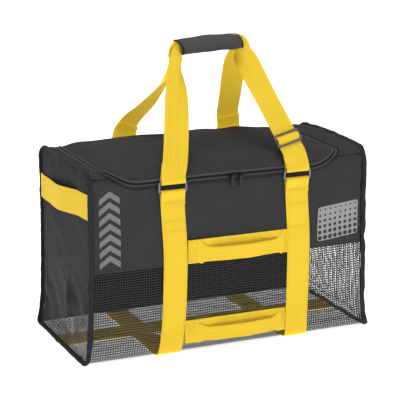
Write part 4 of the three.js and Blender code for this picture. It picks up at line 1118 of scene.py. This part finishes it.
for word, (centre_line, seams) in STRAPS.items():
    route = strap_route()
    flat = np.column_stack([np.zeros(len(route)), route])
    stations = way_along(flat)
    places = np.unique(np.concatenate([np.linspace(0, stations[-1], STRAP_STATIONS), stations]))
    y, z = curve_through(route, stations, places).T
    middle = strap_middle(centre_line, y, z) + 0.0007 * waves(places, 0 * places, 91, 0.08, 0.3)
    points = settle(middle, y, z)
    points[:, 2] = np.maximum(points[:, 2], WEBBING / 2)
    flat_points = np.column_stack([0 * y, y, z])
    across, out = frames_along(flat_points, np.tile([1.0, 0, 0], (len(places), 1)))
    strap = add_strip(f"{word}_strap_webbing", points, across, out, webbing_finish)
    put(strap, f"{word}_body_strap")

    surface = strap_face(centre_line)
    edge = WEBBING_WIDTH / 2 - STITCH_INSET
    rows = [((side * edge, 0.02), (side * edge, FLAP_TOP - 0.024)) for side in (-1, 1)]
    rows += [((-edge, height), (edge, height)) for seam in seams for height in (seam, seam - STITCH_INSET)]
    seam_thread = add_stitches(f"{word}_strap_stitches", *stitch_lines(surface, rows, 0), thread_finish)
    put(seam_thread)
    flap_rows = [((-edge, height), (edge, height)) for height in (FLAP_TOP - 0.0175, FLAP_TOP - 0.014)]
    flap_lines = stitch_lines(surface, flap_rows, GAP + WEBBING)
    flap_thread = add_stitches(f"{word}_flap_stitches", *flap_lines, thread_finish)
    put(flap_thread)

# The lengthwise band under the base, between the base net and the two straps.
band_x = np.linspace(-WALL_END, WALL_END, 160)
band_z = np.full_like(band_x, BASE_HEIGHT - GAP - WEBBING / 2)
band_points = settle(band_x, np.full_like(band_x, BASE_BAND_AT), band_z)
band_across, band_out = frames_along(band_points, np.tile([0.0, -1, 0], (len(band_x), 1)))
band = add_strip("base_webbing", band_points, band_across, band_out, webbing_finish, width=BASE_BAND_WIDTH)
put(band, "base_band")

# The grab handles. A band of webbing is sewn flat between the straps. Over it lies a second one, sewn down at
# both ends, whose middle is folded narrower and stands away for the fingers.
UPPER_GRAB_HEIGHT = 0.214
LOWER_GRAB_HEIGHT = 0.047
GRAB_WIDTH = 0.048
GRAB_FOLDED_WIDTH = 0.032
GRAB_BOW = 0.009
GRAB_SHARES = np.array([0, 0.1, 0.18, 0.26, 0.38, 0.55, 0.72, 0.84, 0.9, 0.95, 1])
GRAB_FOLDS = np.array([0, 0, 0.8, 1, 1, 1, 1, 1, 0.8, 0, 0])
GRAB_BOWS = np.array([0, 0, 0.12, 0.55, 0.92, 1, 0.92, 0.55, 0.12, 0, 0])
HANDLE_STATIONS = 170
NEARLY_FLAT = 0.97


def level_frames(points):
    """Directions for a strip that runs level along the front: up across it, and out from the wall."""
    across = np.tile([0.0, 0, 1], (len(points), 1))
    along = unit(np.gradient(points, axis=0))
    return across, np.cross(along, across)


def grab_face(x, z, lift):
    """A point on the sewn ends of the handle, from x and the height."""
    return skin(x, front_way(z), 2 * GAP + 2 * WEBBING + lift)


for word, height in (("upper", UPPER_GRAB_HEIGHT), ("lower", LOWER_GRAB_HEIGHT)):
    edge = WEBBING_WIDTH / 2 + 0.0007
    left_x = strap_middle(STRAP_LEFT, -HALF_DEPTH, height) + edge
    right_x = strap_middle(STRAP_RIGHT, -HALF_DEPTH, height) - edge
    band_x = mix(left_x, right_x, np.linspace(0, 1, 120))
    points = skin(band_x, front_way(height), GAP + WEBBING / 2)
    across, out = level_frames(points)
    band = add_strip(f"{word}_grab_webbing", points, across, out, webbing_finish, width=GRAB_WIDTH)
    put(band, f"{word}_grab_band")

    share = np.linspace(0, 1, HANDLE_STATIONS)
    folded = np.clip(curve_through(GRAB_FOLDS, GRAB_SHARES, share), 0, 1)
    bowed = np.clip(curve_through(GRAB_BOWS, GRAB_SHARES, share), 0, 1)
    lift = 2 * GAP + 1.5 * WEBBING + GRAB_BOW * bowed
    handle_x = mix(left_x, right_x, share)
    points = skin(handle_x, front_way(height), lift)
    points[:, 2] += 0.0006 * waves(share, 0 * share, 95, 0.2, 0.6)
    across, out = level_frames(points)
    crease = GRAB_WIDTH / 2 - (GRAB_WIDTH - GRAB_FOLDED_WIDTH) * folded - CREASE_BEND / 2 * folded
    turn = -NEARLY_FLAT * math.pi * ease(folded)
    drop = -(GRAB_WIDTH - GRAB_FOLDED_WIDTH) / 2 * folded
    offset = np.column_stack([drop, 0 * drop])
    handle = add_strip(
        f"{word}_grab_fold", points, across, out, webbing_finish, crease, turn, offset, width=GRAB_WIDTH,
    )
    put(handle, f"{word}_grab_handle")

    rows = []
    for inner, outer in ((left_x + 0.004, left_x + 0.019), (right_x - 0.008, right_x - 0.003)):
        low, high = height - GRAB_WIDTH / 2 + 0.004, height + GRAB_WIDTH / 2 - 0.004
        rows += [((inner, low), (inner, high)), ((outer, low), (outer, high)), ((inner, low), (outer, low))]
        rows += [((inner, high), (outer, high)), ((inner, low), (outer, high)), ((inner, high), (outer, low))]
    box_thread = add_stitches(f"{word}_grab_stitches", *stitch_lines(grab_face, rows, 0), thread_finish)
    put(box_thread)

# The end handles. A strip of webbing lies across each end, falls a little to the back and stands away from
# the cloth in its middle.
END_HANDLE_FRONT_HEIGHT = 0.322
END_HANDLE_BACK_HEIGHT = 0.304
END_HANDLE_SHARES = np.linspace(0, 1, 11)
END_HANDLE_BOWS = np.array([0, 0, 0, 0.35, 0.85, 1, 0.85, 0.35, 0, 0, 0])

END_HANDLE_INSET = 0.0047
END_HANDLE_CLEAR = CLOTH / 2 + 0.0007


def end_face(side):
    """The sewn ends of the handle as a surface: from y and a height to a point at a lift."""
    def face(y, z, lift):
        return settle(side * (HALF_LENGTH + END_HANDLE_CLEAR + WEBBING + lift), y, z)
    return face


for word, side in (("left", -1), ("right", 1)):
    reach = HALF_DEPTH - END_HANDLE_INSET
    share = np.linspace(0, 1, HANDLE_STATIONS)
    bowed = np.clip(curve_through(END_HANDLE_BOWS, END_HANDLE_SHARES, share), 0, 1)
    y = mix(-reach, reach, share)
    z = mix(END_HANDLE_FRONT_HEIGHT, END_HANDLE_BACK_HEIGHT, ease(share))
    z = z + 0.0012 * waves(share, 0 * share, 97, 0.2, 0.7)
    points = settle(side * (HALF_LENGTH + END_HANDLE_CLEAR + WEBBING / 2 + GRAB_BOW * bowed), y, z)
    along = unit(np.gradient(points, axis=0))
    across = unit(np.array([0, 0, 1]) - along * along[:, 2:])
    out = np.cross(along, across)
    out = out * np.sign(np.sum(out[:, 0]) * side)
    handle = add_strip(f"{word}_end_webbing", points, across, out, webbing_finish)
    put(handle, f"{word}_end_handle")

    rows = []
    for at in (-reach + 0.004, -reach + 0.02, reach - 0.02, reach - 0.004):
        middle = mix(END_HANDLE_FRONT_HEIGHT, END_HANDLE_BACK_HEIGHT, ease((at / reach + 1) / 2))
        rows.append(((at, middle - 0.021), (at, middle + 0.021)))
    end_thread = add_stitches(f"{word}_end_stitches", *stitch_lines(end_face(side), rows, 0), thread_finish)
    put(end_thread)

# The carry loops. One length of webbing rises from the upper bars of two rings, leans in over the lid, and
# folds in half lengthwise to pass through the grip. The front one is woven through the adjuster.
GRIP_HEIGHT = 0.6
GRIP_LEFT = -0.052
GRIP_RIGHT = 0.079
GRIP_ARCH = 0.002
GRIP_TILT = 0.0025
LOOP_SPACING = 0.01
TAIL_LENGTH = 0.042
TAIL_SLACK = 0.0009
ADJUSTER_RISE = 0.045
ADJUSTER_HEIGHT = 0.028
ADJUSTER_BAR = 0.0038
LEG_RISE = np.array([0.06, 0.14, 0.36, 0.5, 0.62, 0.72, 0.82, 0.9, 0.95, 0.985, 1])
LEG_LEAN = np.array([0, 0.03, 0.27, 0.43, 0.57, 0.69, 0.81, 0.9, 0.95, 0.985, 1])
LEG_SWING = np.array([0.01, 0.07, 0.3, 0.45, 0.57, 0.67, 0.77, 0.83, 0.87, 0.93, 1])
LEG_STRAIGHT = np.array([0.02, 0.08, 0.34, 0.5, 0.63, 0.73, 0.81, 0.87, 0.9, 0.94, 1])
LEG_SLANT = np.array([0.03, 0.15, 0.62, 0.82, 0.9, 0.92, 0.92, 0.91, 0.91, 0.94, 1])
LEG_GATHER = np.array([0, 0, 0, 0.02, 0.08, 0.18, 0.31, 0.46, 0.68, 1, 1])
LATE_GATHER = np.array([0, 0, 0, 0, 0.02, 0.08, 0.18, 0.36, 0.62, 1, 1])
LEG_TWIST = -np.radians([0, 4, 16, 26, 34, 38, 34, 22, 8, 0, 0])
LEG_UPRIGHT = np.array([0, 0, 0, 0, 0, 0.1, 0.3, 0.6, 0.85, 1, 1])
LAYER_OFFSET = (WEBBING + GAP) / 2
ADJUSTER_OFFSET = LAYER_OFFSET + WEBBING / 2 + GAP + RING_THICKNESS / 2
WEAVE_LIFT = ADJUSTER_OFFSET + RING_THICKNESS / 2 + 2 * GAP + WEBBING / 2 - LAYER_OFFSET
WEAVE_SHARES = np.array([-0.46, -0.36, -0.1, 0.1, 0.36, 0.46])
WEAVE_OVER = np.array([0, 0, 1, 1, 0, 0])


def grip_middle(x):
    share = (x - GRIP_LEFT) / (GRIP_RIGHT - GRIP_LEFT)
    return GRIP_HEIGHT + GRIP_ARCH * (1 - (2 * share - 1) ** 2) + GRIP_TILT * (2 * share - 1)


def ring_centre(centre_line, face):
    bar_height = (FRONT_RING_HEIGHT if face < 0 else BACK_RING_HEIGHT) - BAR_CENTRES / 2
    y = face * (HALF_DEPTH + RING_LIFT)
    bar = settle(strap_middle(centre_line, y, bar_height), y, bar_height)
    return bar + np.array([0, 0, BAR_CENTRES / 2])


def aimed(along, upright, face):
    """Directions across the webbing and out of its face, which leans with the leg and then turns upright."""
    lean = np.arctan2(-face * along[:, 1], along[:, 2]) * (1 - upright)
    facing = np.stack([0 * lean, face * np.cos(lean), np.sin(lean)], axis=1)
    across = unit(np.cross(along, facing))
    return across, np.cross(across, along)


def leg_of(bar, end, face):
    """Middle line, directions and gathering of one leg, from just above the ring's bar to the grip's end."""
    slanted = bar[0] < 0 < bar[1]
    swing = LEG_SWING if bar[0] < 0 or bar[1] > 0 else LEG_STRAIGHT
    gather = LEG_GATHER if bar[0] < 0 else LATE_GATHER
    at = np.stack([
        mix(bar[0], end[0], LEG_SLANT if slanted else swing),
        mix(bar[1], end[1], LEG_LEAN),
        bar[2] + (end[2] - bar[2]) * LEG_RISE,
    ], axis=1)
    before = np.vstack([bar, at[:-1]])
    after = np.vstack([at[1:], [0, end[1], end[2]]])
    along = unit(after - before)
    across, facing = aimed(along, LEG_UPRIGHT, face)
    if slanted:
        level, tipped = np.cos(LEG_TWIST)[:, None], np.sin(LEG_TWIST)[:, None]
        across, facing = across * level + facing * tipped, facing * level - across * tipped
    return {"at": at, "along": along, "across": across, "facing": facing, "gather": gather}


def adjuster_seat(leg, face):
    """Middle and directions of the leg where the adjuster sits on its straight stretch."""
    along = unit(leg["at"][2] - leg["at"][1])
    way = (ADJUSTER_RISE - (leg["at"][1][2] - leg["at"][0][2])) / along[2]
    across, facing = aimed(along[None], np.zeros(1), face)
    return leg["at"][1] + along * way, along, across[0], facing[0]


def leg_stations(bar, end, face, adjusted):
    """Points, directions across and gathering of one leg, from its tail round the ring's bar to the grip."""
    leg = leg_of(bar, end, face)
    short = leg["at"][:, 2] - bar[2] < TAIL_LENGTH
    tail = (leg["at"] - leg["facing"] * (LAYER_OFFSET + TAIL_SLACK))[short][::-1]
    turn = np.linspace(0, math.pi, 9)
    fold = bar + np.stack([0 * turn, -face * FOLD_RADIUS * np.cos(turn), -FOLD_RADIUS * np.sin(turn)], axis=1)
    main = leg["at"] + leg["facing"] * LAYER_OFFSET
    across, gather = leg["across"], leg["gather"]
    if adjusted:
        middle, along, seat_across, facing = adjuster_seat(leg, face)
        over = LAYER_OFFSET + WEAVE_LIFT * WEAVE_OVER
        woven_through = middle + facing * over[:, None] + along * (WEAVE_SHARES * ADJUSTER_HEIGHT)[:, None]
        main = np.concatenate([main[:2], woven_through, main[2:]])
        across = np.concatenate([across[:2], np.tile(seat_across, (6, 1)), across[2:]])
        gather = np.concatenate([gather[:2], np.zeros(6), gather[2:]])
    points = np.concatenate([tail, fold, main])
    aside = np.concatenate([leg["across"][short][::-1], np.tile([-face, 0.0, 0.0], (9, 1)), across])
    return points, aside, np.concatenate([np.zeros(len(tail) + 9), gather])


LOOP_STATIONS = 380

for word, face in (("front", -1), ("back", 1)):
    halves = []
    legs = ((STRAP_LEFT, GRIP_LEFT, False), (STRAP_RIGHT, GRIP_RIGHT, face < 0))
    for centre_line, grip_x, adjusted in legs:
        bar = ring_centre(centre_line, face) + np.array([0, 0, BAR_CENTRES / 2])
        end = np.array([grip_x, face * LOOP_SPACING / 2, grip_middle(grip_x)])
        halves.append(leg_stations(bar, end, face, adjusted))
    inside = np.linspace(GRIP_LEFT, GRIP_RIGHT, 7)[1:-1]
    held = np.stack([inside, np.full(5, face * LOOP_SPACING / 2), grip_middle(inside)], axis=1)
    points = np.concatenate([halves[0][0], held, halves[1][0][::-1]])
    aside = np.concatenate([halves[0][1], np.tile(halves[0][1][-1], (5, 1)), halves[1][1][::-1]])
    gather = np.concatenate([halves[0][2], np.ones(5), halves[1][2][::-1]])
    for index in range(1, len(aside)):
        if np.dot(aside[index], aside[index - 1]) < 0:
            aside[index] = -aside[index]
    stations = way_along(points)
    places = np.unique(np.concatenate([np.linspace(0, stations[-1], LOOP_STATIONS), stations]))
    points = curve_through(points, stations, places)
    aside = np.stack([np.interp(places, stations, aside[:, axis]) for axis in range(3)], axis=1)
    gather = np.interp(places, stations, gather)
    points[:, 0] += 0.0009 * waves(places, 0 * places, 101 + face, 0.1, 0.4)
    across, out = frames_along(points, aside)
    facing_out = out[len(out) // 4] @ np.array([0, face, 0.3])
    hand = 1 if facing_out > 0 else -1
    fold_turn = -hand * 0.96 * math.pi * gather
    crease = np.zeros(len(places)) + 0.004 * waves(places, 0 * places, 105 + face, 0.1, 0.4) * gather
    offset = np.column_stack([0 * gather, hand * 0.0012 * gather])
    # The back loop takes the webbing with a painted glow, which lightens its faces that turn down in shade.
    finish = webbing_finish if face < 0 else glowing_webbing
    loop = add_strip(f"{word}_loop_webbing", points, across, out, finish, crease, fold_turn, offset)
    put(loop, f"{word}_carry_loop")

# Rings and the adjuster. Flat frames of dark grey metal with softly rounded bars.
METAL_DARK = (0.16, 0.165, 0.175, 1)
RING_CORNER = 0.0036
BAR_SQUARE = 0.62

metal_finish, metal_tree, metal_shader = new_material("grey metal", METAL_DARK, 0.34, Metallic=0.85)
metal_place = add_node(metal_tree, "ShaderNodeTexCoord")
metal_grain = add_node(metal_tree, "ShaderNodeTexNoise", metal_place.outputs["Object"])
metal_grain.inputs["Scale"].default_value = 260
metal_grain.inputs["Detail"].default_value = 3
metal_rough = math_node(metal_tree, "MULTIPLY_ADD", metal_grain.outputs[0], 0.3, 0.2)
metal_tree.links.new(metal_rough, metal_shader.inputs["Roughness"])


def bar_loop(width, height, radius, bar, thickness):
    """A closed rounded rectangle swept by a rounded bar, as a grid of points in its own plane of X and Z."""
    x, z = width / 2 - radius, height / 2 - radius
    turns = np.linspace(0, math.pi / 2, 7)
    path, aside = [], []
    for corner, (cx, cz) in enumerate([(x, z), (-x, z), (-x, -z), (x, -z)]):
        heading = turns + corner * math.pi / 2
        outward = np.stack([np.cos(heading), 0 * heading, np.sin(heading)], axis=1)
        path.append(np.array([cx, 0, cz]) + radius * outward)
        aside.append(outward)
    path, aside = np.concatenate(path), np.concatenate(aside)
    around = np.linspace(0, 2 * math.pi, 16, endpoint=False)
    a = squared(np.cos(around), BAR_SQUARE) * bar / 2
    b = squared(np.sin(around), BAR_SQUARE) * thickness / 2
    return path[:, None] + a[None, :, None] * aside[:, None] + b[None, :, None] * np.array([0, 1, 0])


for side, centre_line in (("left", STRAP_LEFT), ("right", STRAP_RIGHT)):
    for place, face in (("front", -1), ("back", 1)):
        loop = bar_loop(RING_WINDOW_WIDTH + RING_BAR, BAR_CENTRES, RING_CORNER, RING_BAR, RING_THICKNESS)
        points = loop + ring_centre(centre_line, face)
        quads = closed_quads(*points.shape[:2])
        flat = np.zeros((points.size // 3, 2))
        ring = add_piece(f"{place}_{side}_frame", points, quads, flat, metal_finish)
        put(ring, f"{place}_{side}_ring")

front_right_bar = ring_centre(STRAP_RIGHT, -1) + np.array([0, 0, BAR_CENTRES / 2])
front_right_end = np.array([GRIP_RIGHT, -LOOP_SPACING / 2, grip_middle(GRIP_RIGHT)])
front_right_leg = leg_of(front_right_bar, front_right_end, -1)
seat_at, seat_along, seat_across, seat_facing = adjuster_seat(front_right_leg, -1)
seat_basis = np.stack([seat_across, np.cross(seat_along, seat_across), seat_along])
adjuster_width = RING_WINDOW_WIDTH + ADJUSTER_BAR
adjuster = bar_loop(adjuster_width, ADJUSTER_HEIGHT - ADJUSTER_BAR, RING_CORNER, ADJUSTER_BAR, RING_THICKNESS)
bar_x = np.linspace(-adjuster_width / 2, adjuster_width / 2, 3)
round_bar = np.linspace(0, 2 * math.pi, 16, endpoint=False)
middle_bar = np.stack(np.broadcast_arrays(
    bar_x[:, None], np.sin(round_bar) * RING_THICKNESS / 2, np.cos(round_bar) * ADJUSTER_BAR / 2,
), -1)
adjuster_quads = np.concatenate([
    closed_quads(*adjuster.shape[:2]),
    closed_quads(3, 16, adjuster.size // 3, open_rows=True),
])
adjuster_points = np.concatenate([adjuster.reshape(-1, 3), middle_bar.reshape(-1, 3)]) @ seat_basis
adjuster_points = adjuster_points + seat_at + seat_facing * ADJUSTER_OFFSET
adjuster_flat = np.zeros((len(adjuster_points), 2))
slide = add_piece("three_bar_slide", adjuster_points, adjuster_quads, adjuster_flat, metal_finish)
put(slide, "strap_adjuster")

# The grip. A padded sleeve of dark grey cloth wrapped round both loops and closed along its underside, with
# a soft crease on its face and a narrow binding round each mouth.
GRIP_DEPTH = 0.048
GRIP_THICKNESS = 0.033
GRIP_WALL = 0.0028
GRIP_SLANT = -0.005
GRIP_DARK = (0.04, 0.04, 0.042, 1)
GRIP_LIGHT = (0.072, 0.072, 0.075, 1)

grip_finish, _, _, _ = woven(
    "grip cloth", GRIP_DARK, GRIP_LIGHT, 0.75, 0.0013, 0.0013, 0.0003, 25, Specular_IOR_Level=0.25,
)


def grip_surface(x, turn, inset):
    """The sleeve's face at a place along it and an angle round it, set in from the outside."""
    share = (x - GRIP_LEFT) / (GRIP_RIGHT - GRIP_LEFT)
    pinch = 1 - 0.05 * np.exp(-np.minimum(share, 1 - share) / 0.04)
    crease = 0.0011 * np.exp(-((turn - 3.62) / 0.09) ** 2) * (1 + 0.2 * np.sin(share * 9))
    puff = 0.0008 * waves(x * 1.0, turn * 0.02, 111, 0.03, 0.09)
    y = (GRIP_DEPTH / 2 * pinch + puff - crease - inset) * np.cos(turn)
    z = (GRIP_THICKNESS / 2 * pinch + puff - crease - inset) * np.sin(turn)
    return np.stack([x, y, grip_middle(x) + z], axis=-1)


GRIP_STATIONS = 70
GRIP_SIDES = 72
RIM_SIDES = 12

grip_x = np.linspace(GRIP_LEFT, GRIP_RIGHT, GRIP_STATIONS)
grip_turns = np.linspace(0, 2 * math.pi, GRIP_SIDES, endpoint=False)
grip_rows_x = np.concatenate([grip_x, grip_x[::-1]])[:, None]
grip_inset = np.repeat([0, GRIP_WALL], GRIP_STATIONS)[:, None]
grip_points = grip_surface(*np.broadcast_arrays(grip_rows_x, grip_turns[None, :], grip_inset))
grip_points[..., 0] += GRIP_SLANT * np.sin(grip_turns)
grip_uv = np.stack(np.broadcast_arrays(grip_rows_x, grip_turns[None, :] * 0.02), -1)
grip_quads = closed_quads(2 * GRIP_STATIONS, GRIP_SIDES)
sleeve = add_piece("padded_sleeve", grip_points, grip_quads, grip_uv, grip_finish)
put(sleeve, "grip")

for word, mouth in (("left", GRIP_LEFT), ("right", GRIP_RIGHT)):
    around = np.linspace(0, 2 * math.pi, RIM_SIDES, endpoint=False)
    mouth_turns = grip_turns[:, None]
    swell_x = mouth + 0.0026 * np.cos(around)[None, :] * (1 if mouth > 0 else -1)
    inset = GRIP_WALL / 2 - (GRIP_WALL / 2 + 0.0006) * np.sin(around)[None, :]
    held_x = np.full_like(mouth_turns + inset, mouth)
    rim_points = grip_surface(held_x, *np.broadcast_arrays(mouth_turns, inset))
    rim_points[..., 0] = swell_x + GRIP_SLANT * np.sin(mouth_turns)
    rim_uv = np.stack(np.broadcast_arrays(mouth_turns * 0.02, around[None, :] * 0.003), -1)
    rim_quads = closed_quads(GRIP_SIDES, RIM_SIDES)[:, ::1 if mouth > 0 else -1]
    rim = add_piece(f"{word}_grip_edge", rim_points, rim_quads, rim_uv, tape_finish)
    put(rim)

# The zip. A black tape in a U round the lid, with a coil along its middle, and a narrow rolled edge on the
# lid beside it.
ZIP_SETBACK = 0.0003
COIL_PITCH = 0.0019
COIL_HALF = 0.0024
COIL_RADIUS = 0.00085
COIL_SLANT = 0.0006
ROLL_WIDE = 1.4
EDGE_ROLL = 0.0013
COIL_GREY = (0.03, 0.03, 0.032, 1)

coil_finish, _, _ = new_material("zip coil", COIL_GREY, 0.35)


def u_run(outside):
    """x and the way round the girth along a U round the lid, from its back left corner to its back right."""
    steps = np.linspace(0, 1, 31)
    half_round = np.concatenate([np.ones(len(OVER_TOP)), np.cos(math.pi / 2 * steps)])
    half_way = np.concatenate([OVER_TOP[::-1], corner_way(steps, outside)])
    runs = []
    for reach, side in ((LID_LEFT, -1), (LID_RIGHT, 1)):
        runs.append(side * (reach - LID_CORNER_ALONG + (LID_CORNER_ALONG + outside) * half_round))
    straight = np.linspace(runs[0][-1], runs[1][-1], 110)[1:-1]
    x = np.concatenate([runs[0], straight, runs[1][::-1]])
    way = np.concatenate([half_way, np.full(len(straight), corner_way(1, outside)), half_way[::-1]])
    return x, way


zip_edges = [u_run(outside) for outside in (0.0003, ZIP_WIDTH - 0.0003)]
zip_share = np.linspace(0, 1, 9)[None, :]
zip_x = mix(zip_edges[0][0][:, None], zip_edges[1][0][:, None], zip_share)
zip_way = mix(zip_edges[0][1][:, None], zip_edges[1][1][:, None], zip_share)
tape_points = skin(zip_x, zip_way, -ZIP_SETBACK)
ripple = -0.0004 + 0.0005 * waves(zip_x, zip_way, 121, 0.02, 0.06)
tape = add_cloth("zip_tape", tape_points, np.stack([zip_x, zip_way], -1), ripple, tape_finish, 0.0011)
put(tape, "zip")

coil_x, coil_way = u_run(ZIP_WIDTH / 2)
coil_line = skin(coil_x, coil_way, 0.0006)
coil_lift = unit(skin(coil_x, coil_way, 0.0016) - coil_line)
coil_stations = way_along(coil_line)
coil_places = np.arange(0.002, coil_stations[-1] - 0.002, COIL_PITCH)
coil_at = np.stack([np.interp(coil_places, coil_stations, coil_line[:, axis]) for axis in range(3)], axis=1)
coil_up = np.stack([np.interp(coil_places, coil_stations, coil_lift[:, axis]) for axis in range(3)], axis=1)
coil_out = unit(coil_up)
coil_aside = unit(np.cross(np.gradient(coil_at, axis=0), coil_out))
coil_reach = coil_aside * COIL_HALF + unit(np.gradient(coil_at, axis=0)) * COIL_SLANT
coil_ends = (coil_at - coil_reach, coil_at + coil_reach)
coil = add_stitches("zip_coil", *coil_ends, coil_out, coil_finish, COIL_RADIUS)
put(coil)

roll_x, roll_way = u_run(-0.0006)
roll_line = skin(roll_x, roll_way, 0.0012)
roll_out = unit(skin(roll_x, roll_way, 0.0022) - roll_line)
roll_aside = unit(np.cross(np.gradient(roll_line, axis=0), roll_out))
roll_turns = np.linspace(0, 2 * math.pi, 10, endpoint=False)
roll_a = EDGE_ROLL * ROLL_WIDE * np.cos(roll_turns)[None, :, None]
roll_b = EDGE_ROLL * np.sin(roll_turns)[None, :, None]
roll_points = roll_line[:, None] + roll_a * roll_aside[:, None] + roll_b * roll_out[:, None]
roll_uv = np.stack(np.broadcast_arrays(way_along(roll_line)[:, None], roll_turns[None, :] * EDGE_ROLL), -1)
roll_quads = closed_quads(*roll_points.shape[:2], open_rows=True)[:, ::-1]
rolled_edge = add_piece("lid_rolled_edge", roll_points, roll_quads, roll_uv, grip_finish)
put(rolled_edge)

# Zip sliders and pulls. Small black enamelled castings, a little worn.
ENAMEL_BLACK = (0.012, 0.012, 0.013, 1)

black_enamel, _, _ = new_material("black enamel", ENAMEL_BLACK, 0.3, Metallic=0.5)
for node in ("zip_slider_1", "zip_slider_2", "zip_pull_1", "zip_pull_2"):
    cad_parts[node].material_slots[0].material = black_enamel
